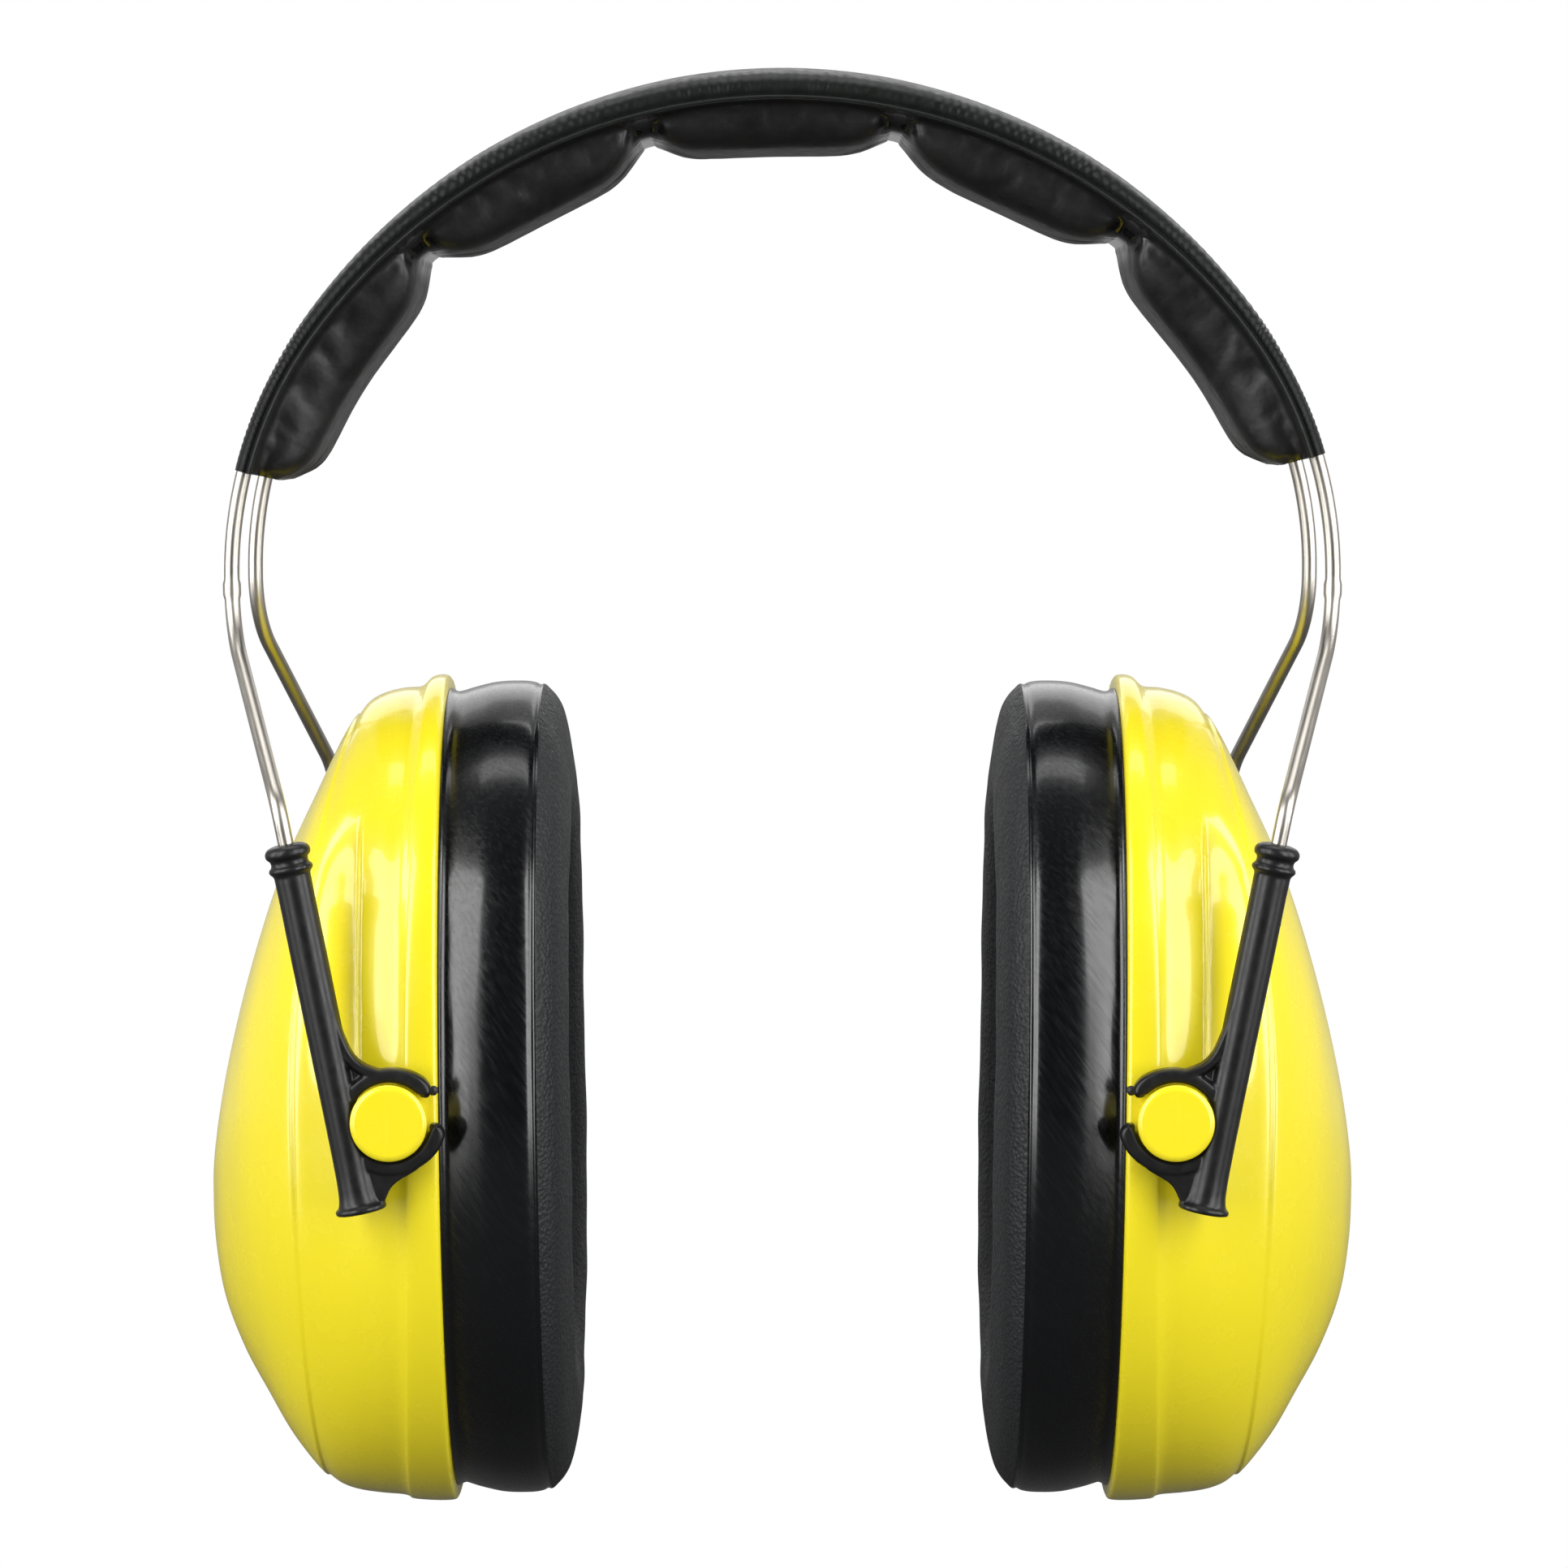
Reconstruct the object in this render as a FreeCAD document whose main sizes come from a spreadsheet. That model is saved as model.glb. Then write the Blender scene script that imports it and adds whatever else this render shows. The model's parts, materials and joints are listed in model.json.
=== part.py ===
import FreeCAD, Part
import math
import os
from FreeCAD import Placement, Rotation, Vector

# Earmuff hearing protector: a padded spring-wire headband, four slider sleeves
# that clip on to pivot studs, and two oval cups with sealing cushions.
# Millimetres. +Z up, +X to the right, front is -Y. The origin is the middle of
# the whole object. Left and right mean -X and +X.

doc = FreeCAD.newDocument("earmuff")

# ---------------------------------------------------------------- driving sizes

SIZES = [
    # padded headband: arcs about a crown centre and two tighter shoulder centres
    ("ArchCentreHeight", 14.0),
    ("WireArchRadius", 71.6),
    ("ShoulderRadius", 50.0),
    ("ArchHalfSpan", 67.3),
    ("CoverEndAngle", 74.4),
    ("CoverHalfWidth", 18.8),
    ("CoverTopRadius", 75.3),
    ("CoverEdgeRadius", 73.6),
    ("CoverSkin", 0.9),
    ("CoverEdgeInset", 1.5),
    ("CoverEdgeRise", 0.6),
    ("WeldRadius", 70.6),
    ("LiningSkin", 0.6),
    ("PadBottomRadius", 64.6),
    ("PadHalfWidth", 15.5),
    ("InnerValleyAngle", 13.0),
    ("OuterValleyAngle", 39.0),
    ("ValleyHalfAngle", 1.6),
    ("PadEndAngle", 71.0),
    # spring wire
    ("WireRadius", 0.95),
    ("WireSpacing", 15.8),
    ("WireKinkHeight", 20.5),
    ("WireBendRadius", 12.0),
    ("WireEndBendRadius", 5.0),
    ("WireEndToSleeveFoot", 4.0),
    # slider sleeves
    ("SleeveSpacing", 40.5),
    ("SleeveTopOut", 58.65),
    ("SleeveTopHeight", -4.7),
    ("SleeveLength", 44.26),
    ("SleeveLeanAngle", 11.31),
    ("SleeveRadius", 2.15),
    ("SleeveBoreRadius", 1.0),
    ("SleeveNeckLength", 7.0),
    ("SleeveChamberRadius", 1.45),
    ("CollarRadius", 2.7),
    ("CollarHeight", 1.2),
    ("CollarRingRadius", 2.6),
    ("CollarRingHeight", 0.6),
    ("CollarRingDrop", 2.3),
    ("FootRadius", 2.9),
    ("FootHeight", 0.7),
    ("FootFlareHeight", 3.4),
    ("FootFlareRadius", 2.6),
    ("ClipOuterRadius", 6.3),
    ("ClipInnerRadius", 3.85),
    ("ClipThickness", 3.2),
    ("WebThickness", 1.8),
    # end stop pressed on each wire end
    ("StopRadius", 1.4),
    ("StopLength", 3.0),
    # cup pivots
    ("PivotOut", 46.6),
    ("PivotHeight", -37.3),
    ("StudNeckRadius", 3.8),
    ("StudHeadRadius", 4.6),
    ("StudFootFrom", 33.8),
    ("StudHeadFrom", 42.2),
    ("StudHeadTo", 43.1),
    ("StudHeadClearance", 0.15),
    # cup
    ("CupLeanAngle", 0.6),
    ("CupCentreHeight", -37.9),
    ("FlangeOut", 41.05),
    ("FlangeDepth", 3.1),
    ("FlangeHalfHeight", 51.6),
    ("FlangeHalfWidth", 38.4),
    ("ShellWall", 2.5),
    # acoustic foam in the cup
    ("AbsorberFrom", 45.2),
    ("AbsorberDepth", 10.5),
    ("AbsorberHalfHeight", 38.0),
    ("AbsorberHalfWidth", 28.5),
    ("AbsorberCentreHeight", -41.0),
    # cushion and its snap-in plate
    ("PlateFrom", 41.0),
    ("PlateDepth", 2.2),
    ("PlateHalfHeight", 47.8),
    ("PlateHalfWidth", 34.9),
    ("CushionFace", 25.6),
    ("CushionDepth", 15.4),
    ("CushionHalfHeight", 50.9),
    ("CushionHalfWidth", 37.9),
    ("EarHalfHeight", 32.0),
    ("EarHalfWidth", 20.0),
    ("CushionSkin", 0.8),
    ("CushionRound", 4.0),
]

sheet = doc.addObject("Spreadsheet::Sheet", "Sizes")
for row, (alias, value) in enumerate(SIZES, start=1):
    sheet.set(f"A{row}", alias)
    sheet.set(f"B{row}", str(value))
    sheet.setAlias(f"B{row}", alias)
doc.recompute()


def size(alias):
    """The value of a cell of the sheet, in millimetres or degrees."""
    return float(getattr(sheet, alias))


def bind(thing, **expressions):
    """Ties properties of an object to cells: bind(tube, Radius="SleeveRadius")."""
    for name, expression in expressions.items():
        words = expression.split()
        linked = [f"Sizes.{w}" if w[0].isupper() else w for w in words]
        thing.setExpression(name, " ".join(linked))


# ------------------------------------------------------------------ small tools

SIDES = {"left": -1, "right": 1}
FACES = {"front": -1, "rear": 1}
X_AXIS = Vector(1, 0, 0)
Y_AXIS = Vector(0, 1, 0)
Z_AXIS = Vector(0, 0, 1)
PAST = 1.0  # how far a cutting tool runs past the face it cuts


def add_round(name, at, along, radius, length):
    """A Part::Cylinder from the point at, along a direction."""
    tube = doc.addObject("Part::Cylinder", name)
    bind(tube, Radius=radius, Height=length)
    tube.Placement = Placement(at, Rotation(Z_AXIS, along))
    return tube


def add_cone(name, at, along, radius_from, radius_to, length):
    cone = doc.addObject("Part::Cone", name)
    bind(cone, Radius1=radius_from, Radius2=radius_to, Height=length)
    cone.Placement = Placement(at, Rotation(Z_AXIS, along))
    return cone


def add_fuse(name, pieces):
    joined = doc.addObject("Part::MultiFuse", name)
    joined.Shapes = pieces
    return joined


def add_cut(name, base, tool):
    left_over = doc.addObject("Part::Cut", name)
    left_over.Base = base
    left_over.Tool = tool
    return left_over


def add_shape(name, shape):
    """A Part::Feature for a form that neither a primitive nor a sketch makes."""
    thing = doc.addObject("Part::Feature", name)
    thing.Shape = shape
    return thing


def label(thing, node):
    thing.Label = node
    SUB_PARTS[node] = thing


SUB_PARTS = {}

# --------------------------------------------------------------------- headband
# Seen from the front the band is three tangent arcs: the crown about
# CROWN_CENTRE and a tighter shoulder on each side, vertical at its foot.

CROWN_CENTRE = Vector(0, 0, size("ArchCentreHeight"))
SHOULDER_INSET = size("WireArchRadius") - size("ShoulderRadius")
SHOULDER_OUT = size("ArchHalfSpan") - size("ShoulderRadius")
SHOULDER_ANGLE = math.degrees(math.asin(SHOULDER_OUT / SHOULDER_INSET))
SHOULDER_UP = SHOULDER_INSET * math.cos(math.radians(SHOULDER_ANGLE))
SHOULDER_HEIGHT = CROWN_CENTRE.z + SHOULDER_UP


def arch_point(radius, angle, y=0.0):
    """A point of the arch, angle degrees from the top, towards +X when positive.

    radius is measured on the crown; the shoulders keep the same offset from the
    wire, about their own centres.
    """
    turn = math.radians(angle)
    if abs(angle) <= SHOULDER_ANGLE:
        centre = Vector(CROWN_CENTRE)
        reach = radius
    else:
        side = math.copysign(1, angle)
        centre = Vector(side * SHOULDER_OUT, 0, SHOULDER_HEIGHT)
        reach = radius - SHOULDER_INSET
    step = Vector(reach * math.sin(turn), 0, reach * math.cos(turn))
    return centre + step + Vector(0, y, 0)


def arch_stops(start, end):
    """The angles at which a stretch of the arch begins, changes centre and ends."""
    inner = [a for a in (-SHOULDER_ANGLE, SHOULDER_ANGLE) if start < a < end]
    return [start] + inner + [end]


def arch_line(radius, start, end, y=0.0):
    """The arcs of one offset line of the arch, as a list of edges."""
    stops = arch_stops(start, end)
    arcs = []
    for a, b in zip(stops, stops[1:]):
        middle = (a + b) / 2
        ends = [arch_point(radius, t, y) for t in (a, middle, b)]
        arcs.append(Part.Arc(*ends).toShape())
    return arcs


def arch_solid(section, start, end):
    """Turns a section round the arch. The section is a list of (y, radius) corners,
    or a triple of them for an arc, in order."""
    stops = arch_stops(start, end)
    spans = []
    for a, b in zip(stops, stops[1:]):
        middle = (a + b) / 2
        centre = CROWN_CENTRE
        if abs(middle) > SHOULDER_ANGLE:
            side = math.copysign(1, middle)
            centre = Vector(side * SHOULDER_OUT, 0, SHOULDER_HEIGHT)
        edges = []
        for piece in section:
            # the small move towards the middle picks the right centre at a stop
            corner = a + math.copysign(1e-9, middle - a)
            points = [arch_point(r, corner, y) for y, r in piece]
            if len(points) == 3:
                edges.append(Part.Arc(*points).toShape())
            else:
                edges.append(Part.LineSegment(*points).toShape())
        face = Part.Face(Part.Wire(edges))
        spans.append(face.revolve(centre, Y_AXIS, b - a))
    solid = spans[0]
    for span in spans[1:]:
        solid = solid.fuse(span)
    return solid.removeSplitter()


def rectangle(half_width, low, high):
    """A rectangular section between two radii."""
    corners = [
        (-half_width, low),
        (half_width, low),
        (half_width, high),
        (-half_width, high),
    ]
    return list(zip(corners, corners[1:] + corners[:1]))


def cover_section():
    """The crowned outer skin: an arc across the top, turned down at both edges."""
    half = size("CoverHalfWidth")
    weld = size("WeldRadius")
    top = size("CoverTopRadius")
    edge = size("CoverEdgeRadius")
    skin = size("CoverSkin")
    corner = half - size("CoverEdgeInset")
    low_edge = weld + size("CoverEdgeRise")
    outer = [(-half, weld), (-half, low_edge), (-corner, edge)]
    inner = [(half - skin, weld), (half - skin, low_edge), (corner - skin, edge - skin)]
    right_outer = [(-y, r) for y, r in reversed(outer)]
    left_inner = [(-y, r) for y, r in reversed(inner)]
    section = list(zip(outer, outer[1:]))
    section.append((outer[-1], (0, top), right_outer[0]))
    section += zip(right_outer, right_outer[1:])
    section.append((right_outer[-1], inner[0]))
    section += zip(inner, inner[1:])
    section.append((inner[-1], (0, top - skin), left_inner[0]))
    section += zip(left_inner, left_inner[1:])
    section.append((left_inner[-1], outer[0]))
    return section


cover_end = size("CoverEndAngle")
cover = add_shape("CoverSkinShape", arch_solid(cover_section(), -cover_end, cover_end))
label(cover, "headband_outer_cover")

inner_valley = size("InnerValleyAngle")
outer_valley = size("OuterValleyAngle")
gap = size("ValleyHalfAngle")
pad_end = size("PadEndAngle")
PAD_SPANS = {
    "left_end": (-pad_end, -outer_valley - gap),
    "left": (-outer_valley + gap, -inner_valley - gap),
    "centre": (-inner_valley + gap, inner_valley - gap),
    "right": (inner_valley + gap, outer_valley - gap),
    "right_end": (outer_valley + gap, pad_end),
}
lining_skin = size("LiningSkin")
pad_bottom = size("PadBottomRadius")
pad_half = size("PadHalfWidth")
weld_radius = size("WeldRadius")
skin_angle = math.degrees(lining_skin / pad_bottom)

lining_shape = arch_solid(
    rectangle(size("CoverHalfWidth"), weld_radius - lining_skin, weld_radius),
    -cover_end,
    cover_end,
)
pocket_section = rectangle(pad_half + lining_skin, pad_bottom - lining_skin, weld_radius)
hollow_section = rectangle(pad_half, pad_bottom, weld_radius + PAST)
pad_section = rectangle(pad_half, pad_bottom, weld_radius)
for start, end in PAD_SPANS.values():
    pocket = arch_solid(pocket_section, start - skin_angle, end + skin_angle)
    lining_shape = lining_shape.fuse(pocket)
for start, end in PAD_SPANS.values():
    lining_shape = lining_shape.cut(arch_solid(hollow_section, start, end))
lining = add_shape("LiningShape", lining_shape.removeSplitter())
label(lining, "headband_lining")

for where, (start, end) in PAD_SPANS.items():
    pad = add_shape(f"Pad_{where}", arch_solid(pad_section, start, end))
    label(pad, f"foam_pad_{where}")

# ------------------------------------------------------- sleeve and pivot places


def outward(side, out, y, z):
    """A point given by its distance from the middle plane."""
    return Vector(side * out, y, z)


sleeve_lean = math.radians(size("SleeveLeanAngle"))


def down_sleeve(side):
    """The direction in which a sleeve slides: down, and in towards the head."""
    return Vector(-side * math.sin(sleeve_lean), 0, -math.cos(sleeve_lean))


def across_sleeve(side):
    """Square to the sleeve in the front plane, towards the head."""
    return Vector(-side * math.cos(sleeve_lean), 0, math.sin(sleeve_lean))


def sleeve_top(side, face):
    y = face * size("SleeveSpacing")
    return outward(side, size("SleeveTopOut"), y, size("SleeveTopHeight"))


def along_sleeve(side, face, distance):
    return sleeve_top(side, face) + down_sleeve(side) * distance


def pivot(side, y=0.0):
    return outward(side, size("PivotOut"), y, size("PivotHeight"))


# ------------------------------------------------------------------ spring wires
# Each wire is one piece: up out of a sleeve, in over the cup, round the arch and
# down into the sleeve on the other side.


def tangent_arc(before, corner, after, radius):
    """The arc that rounds a corner of a path, and the points where it begins and ends."""
    back = (before - corner).normalize()
    ahead = (after - corner).normalize()
    half = back.getAngle(ahead) / 2
    reach = radius / math.tan(half)
    begin = corner + back * reach
    finish = corner + ahead * reach
    middle_way = (back + ahead).normalize()
    centre = corner + middle_way * (radius / math.sin(half))
    middle = centre - middle_way * radius
    return Part.Arc(begin, middle, finish).toShape(), begin, finish


def wire_leg(side, face):
    """The edges of one leg, from the foot of the shoulder arc to the wire's end."""
    y = face * size("WireSpacing")
    foot = outward(side, size("ArchHalfSpan"), y, SHOULDER_HEIGHT)
    kink = outward(side, size("ArchHalfSpan"), y, size("WireKinkHeight"))
    bend = along_sleeve(side, face, -size("WireEndBendRadius"))
    end = along_sleeve(side, face, size("SleeveLength") - size("WireEndToSleeveFoot"))
    first, first_begin, first_finish = tangent_arc(
        foot, kink, bend, size("WireBendRadius")
    )
    second, second_begin, second_finish = tangent_arc(
        kink, bend, end, size("WireEndBendRadius")
    )
    lines = [
        Part.LineSegment(foot, first_begin).toShape(),
        first,
        Part.LineSegment(first_finish, second_begin).toShape(),
        second,
        Part.LineSegment(second_finish, end).toShape(),
    ]
    return lines, end


def spring_wire(face):
    left_edges, left_tip = wire_leg(-1, face)
    right_edges, _ = wire_leg(1, face)
    crown = arch_line(size("WireArchRadius"), -90, 90, face * size("WireSpacing"))
    path = Part.Wire(Part.__sortEdges__(left_edges + crown + right_edges))
    start = Part.Circle(left_tip, -down_sleeve(-1), size("WireRadius"))
    ring = Part.Wire(start.toShape())
    tube = path.makePipeShell([ring], True, False)
    return tube, path.Length


for face_name, face in FACES.items():
    tube, path_length = spring_wire(face)
    expected = math.pi * size("WireRadius") ** 2 * path_length
    print(face_name, "wire length", round(path_length, 1))
    print("  volume over section times length", round(tube.Volume / expected, 4))
    wire = add_shape(f"Wire_{face_name}", tube)
    label(wire, f"{face_name}_spring_wire")

# ------------------------------------------------------ end stops and the sleeves


def wire_stop(side_name, face_name):
    """A ring crimped on the end of a wire. It stops the sleeve from coming off."""
    side = SIDES[side_name]
    face = FACES[face_name]
    from_foot = size("WireEndToSleeveFoot") + size("StopLength")
    base = along_sleeve(side, face, size("SleeveLength") - from_foot)
    name = f"{side_name}_{face_name}_stop"
    down = down_sleeve(side)
    body = add_round(name + "_body", base, down, "StopRadius", "StopLength")
    bore = add_round(name + "_bore", base, down, "WireRadius", "StopLength")
    label(add_cut(name, body, bore), f"{side_name}_{face_name}_wire_stop")


def plate_between(name, outline, y, thickness):
    """A flat web: an outline of (x, z) corners, and arcs given by triples."""
    edges = []
    for piece in outline:
        points = [Vector(x, y - thickness / 2, z) for x, z in piece]
        if len(points) == 3:
            edges.append(Part.Arc(*points).toShape())
        else:
            edges.append(Part.LineSegment(*points).toShape())
    face = Part.Face(Part.Wire(edges))
    return add_shape(name, face.extrude(Vector(0, thickness, 0)))


MOUTH_FROM = -8.0  # degrees about the pivot, from straight inboard, upwards positive
MOUTH_TO = 34.0
UPPER_WEB_ANGLE = 100.0
LOWER_WEB_ANGLE = -75.0
UPPER_WEB_RISE = 13.0
LOWER_WEB_DROP = 8.2
WEB_HOLLOW = 0.2  # how far the gusset's edge is drawn in towards the tube
WEB_LAP = 0.3  # how far the gusset runs into the clip ring


def clip_point(side, angle, radius):
    """A point round the pivot as (x, z), at an angle from straight inboard."""
    turn = math.radians(angle)
    centre = pivot(side)
    x = centre.x - side * radius * math.cos(turn)
    return x, centre.z + radius * math.sin(turn)


def web_outline(side, angle, along):
    """The gusset between the tube and the clip ring: a concave arc outside."""
    ring = size("ClipOuterRadius") - WEB_LAP
    on_ring = clip_point(side, angle, ring)
    axis_point = along_sleeve(side, 1, along)
    at_tube = axis_point + across_sleeve(side) * size("SleeveRadius")
    inside = along_sleeve(side, 1, sleeve_level())
    corner = (at_tube.x, at_tube.z)
    heart = (inside.x, inside.z)
    spine = (axis_point.x, axis_point.z)
    middle = ((on_ring[0] + corner[0]) / 2, (on_ring[1] + corner[1]) / 2)
    bow = tuple(m + WEB_HOLLOW * (h - m) for m, h in zip(middle, heart))
    return [(corner, bow, on_ring), (on_ring, heart), (heart, spine), (spine, corner)]


def sleeve_level():
    """How far down the sleeve the pivot lies."""
    offset = pivot(1) - sleeve_top(1, 1)
    return offset.dot(down_sleeve(1))


def slider_sleeve(side_name, face_name):
    side = SIDES[side_name]
    face = FACES[face_name]
    name = f"{side_name}_{face_name}_sleeve"
    y = face * size("SleeveSpacing")
    down = down_sleeve(side)
    length = size("SleeveLength")
    thickness = size("ClipThickness")
    flare = size("FootFlareHeight")

    top = along_sleeve(side, face, 0)
    ring_at = along_sleeve(side, face, size("CollarRingDrop"))
    flare_at = along_sleeve(side, face, length - flare)
    foot_at = along_sleeve(side, face, length - size("FootHeight"))
    solids = [
        add_round(name + "_tube", top, down, "SleeveRadius", "SleeveLength"),
        add_round(name + "_collar", top, down, "CollarRadius", "CollarHeight"),
        add_round(name + "_ring", ring_at, down, "CollarRingRadius", "CollarRingHeight"),
        add_cone(
            name + "_flare",
            flare_at,
            down,
            "SleeveRadius",
            "FootFlareRadius",
            "FootFlareHeight",
        ),
        add_round(name + "_foot", foot_at, down, "FootRadius", "FootHeight"),
    ]
    eye = pivot(side, y - thickness / 2)
    solids.append(add_round(name + "_eye", eye, Y_AXIS, "ClipOuterRadius", "ClipThickness"))
    level = sleeve_level()
    for part, angle, along in (
        ("upper", UPPER_WEB_ANGLE, level - UPPER_WEB_RISE),
        ("lower", LOWER_WEB_ANGLE, level + LOWER_WEB_DROP),
    ):
        outline = web_outline(side, angle, along)
        web = plate_between(f"{name}_{part}_web", outline, y, size("WebThickness"))
        solids.append(web)
    solid = add_fuse(name + "_solid", solids)

    through = pivot(side, y - thickness / 2 - PAST)
    hole_length = f"ClipThickness + {2 * PAST}"
    hole = add_round(name + "_hole", through, Y_AXIS, "ClipInnerRadius", hole_length)
    reach = 2 * size("ClipOuterRadius")
    corners = [
        clip_point(side, MOUTH_FROM, 0),
        clip_point(side, MOUTH_FROM, reach),
        clip_point(side, MOUTH_TO, reach),
    ]
    mouth_outline = list(zip(corners, corners[1:] + corners[:1]))
    mouth = plate_between(name + "_mouth", mouth_outline, y, thickness + 2 * PAST)
    above = along_sleeve(side, face, -PAST)
    bore_length = f"SleeveLength + {2 * PAST}"
    neck = add_round(name + "_neck_bore", above, down, "SleeveBoreRadius", bore_length)
    chamber_at = along_sleeve(side, face, size("SleeveNeckLength"))
    chamber = add_round(
        name + "_chamber", chamber_at, down, "SleeveChamberRadius", "SleeveLength"
    )
    clip_face = pivot(side, y + face * thickness / 2)
    head_room = add_round(
        name + "_head_room",
        clip_face,
        Vector(0, face, 0),
        "StudHeadRadius + StudHeadClearance",
        "SleeveRadius",
    )
    holes = add_fuse(name + "_holes", [hole, mouth, neck, chamber, head_room])
    label(add_cut(name, solid, holes), f"{side_name}_{face_name}_sleeve")


for side_name in SIDES:
    for face_name in FACES:
        wire_stop(side_name, face_name)
        slider_sleeve(side_name, face_name)

# -------------------------------------------------------------------------- cups
# Each cup is built upright and then leaned about its pivot, foot inwards.


def lean(side):
    """The placement that leans a cup about its pivot axis."""
    turn = Rotation(Y_AXIS, side * size("CupLeanAngle"))
    centre = pivot(side)
    return Placement(centre, turn) * Placement(-centre, Rotation())


FLANGE_LAP = 0.4  # how far the dome starts inside the flange

# Outline of the shell: distance out from the middle plane, top, bottom, half width.
SHELL_SECTIONS = [
    (44.2, 12.6, -88.9, 37.7),
    (48.0, 12.0, -88.8, 37.0),
    (51.4, 10.3, -88.5, 36.0),
    (53.4, 7.2, -88.2, 35.1),
    (56.0, 2.6, -86.9, 33.9),
    (59.0, -3.4, -83.9, 32.0),
    (62.0, -10.8, -79.5, 28.8),
    (65.0, -19.6, -74.6, 24.2),
    (68.0, -30.3, -68.0, 17.6),
    (70.2, -40.8, -60.8, 9.6),
    (71.2, -47.8, -54.0, 3.4),
]


def oval(side, out, top, bottom, half_width, squareness=2.25, count=32):
    """A closed superellipse across the X axis, as one periodic spline."""
    centre = (top + bottom) / 2
    half_height = (top - bottom) / 2
    points = []
    for step in range(count):
        turn = 2 * math.pi * step / count
        c = math.cos(turn)
        s = math.sin(turn)
        y = half_width * math.copysign(abs(c) ** (2 / squareness), c)
        z = half_height * math.copysign(abs(s) ** (2 / squareness), s)
        points.append(outward(side, out, y, centre + z))
    curve = Part.BSplineCurve()
    curve.interpolate(points, PeriodicFlag=True)
    return Part.Wire(curve.toShape())


def oval_tube(side, sections):
    """A solid through a row of ovals."""
    rings = [oval(side, *section) for section in sections]
    return Part.makeLoft(rings, True, False)


def thinned(section, wall):
    """The section of the hollow that leaves this wall all round and at the crown."""
    out, top, bottom, half_width = section
    first = size("FlangeOut")
    last = SHELL_SECTIONS[-1][0]
    depth = last - first
    moved = first + (out - first) * (1 - wall / depth)
    return moved, top - wall, bottom + wall, half_width - wall


def oval_prism(name, side, start, half_height, half_width, depth, centre_height):
    """An elliptical prism that runs outwards from a plane, leaned with its cup."""
    ellipse = doc.addObject("Part::Ellipse", name + "_outline")
    bind(ellipse, MajorRadius=half_height, MinorRadius=half_width)
    centre = outward(side, start, 0, size(centre_height))
    upright = Rotation(Z_AXIS, -Y_AXIS, X_AXIS, "XZY")
    ellipse.Placement = lean(side) * Placement(centre, upright)
    prism = doc.addObject("Part::Extrusion", name)
    prism.Base = ellipse
    prism.DirMode = "Custom"
    prism.Dir = lean(side).Rotation.multVec(Vector(side, 0, 0))
    bind(prism, LengthFwd=depth)
    prism.Solid = True
    return prism


def pivot_stud(name, side, face):
    """The round stud moulded on the shell's side, with its snap head."""
    out = Vector(0, face, 0)
    foot = pivot(side, face * size("StudFootFrom"))
    top = pivot(side, face * size("StudHeadFrom"))
    neck_length = "StudHeadFrom - StudFootFrom"
    head_length = "StudHeadTo - StudHeadFrom"
    return [
        add_round(name + "_neck", foot, out, "StudNeckRadius", neck_length),
        add_round(name + "_head", top, out, "StudHeadRadius", head_length),
    ]


def cup_shell(side_name):
    side = SIDES[side_name]
    name = f"{side_name}_shell"
    wall = size("ShellWall")
    flange_out = size("FlangeOut")
    middle = size("CupCentreHeight")
    half = size("FlangeHalfHeight")
    flange_top = middle + half
    flange_bottom = middle - half
    flange_end = flange_out + size("FlangeDepth")
    rim = (flange_out, flange_top, flange_bottom, size("FlangeHalfWidth"))
    rim_end = (flange_end, flange_top, flange_bottom, size("FlangeHalfWidth"))
    flange = oval_tube(side, [rim, rim_end])
    base = (flange_end - FLANGE_LAP,) + SHELL_SECTIONS[0][1:]
    dome = oval_tube(side, [base] + SHELL_SECTIONS)
    mouth = (flange_out - PAST,) + SHELL_SECTIONS[0][1:]
    hollow_rings = [mouth, SHELL_SECTIONS[0]] + SHELL_SECTIONS[1:-1]
    hollow = oval_tube(side, [thinned(ring, wall) for ring in hollow_rings])
    blank = add_shape(name + "_blank", flange.fuse(dome))
    blank.Placement = lean(side)
    inside = add_shape(name + "_inside", hollow)
    inside.Placement = lean(side)
    studs = []
    for face_name, face in FACES.items():
        studs += pivot_stud(f"{name}_{face_name}_stud", side, face)
    body = add_fuse(name + "_body", [blank] + studs)
    label(add_cut(name, body, inside), f"{side_name}_cup_shell")


def absorber(side_name):
    side = SIDES[side_name]
    foam = oval_prism(
        f"{side_name}_absorber",
        side,
        size("AbsorberFrom"),
        "AbsorberHalfHeight",
        "AbsorberHalfWidth",
        "AbsorberDepth",
        "AbsorberCentreHeight",
    )
    label(foam, f"{side_name}_acoustic_foam")


def rounded_edges(shape, out, radius):
    """Edge list for a fillet: the edges that lie in the plane at this distance out."""
    picked = []
    for number, edge in enumerate(shape.Edges, start=1):
        box = edge.BoundBox
        if abs(abs(box.Center.x) - out) < 1.0 and box.XLength < 2.0:
            picked.append((number, radius, radius))
    return picked


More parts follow.
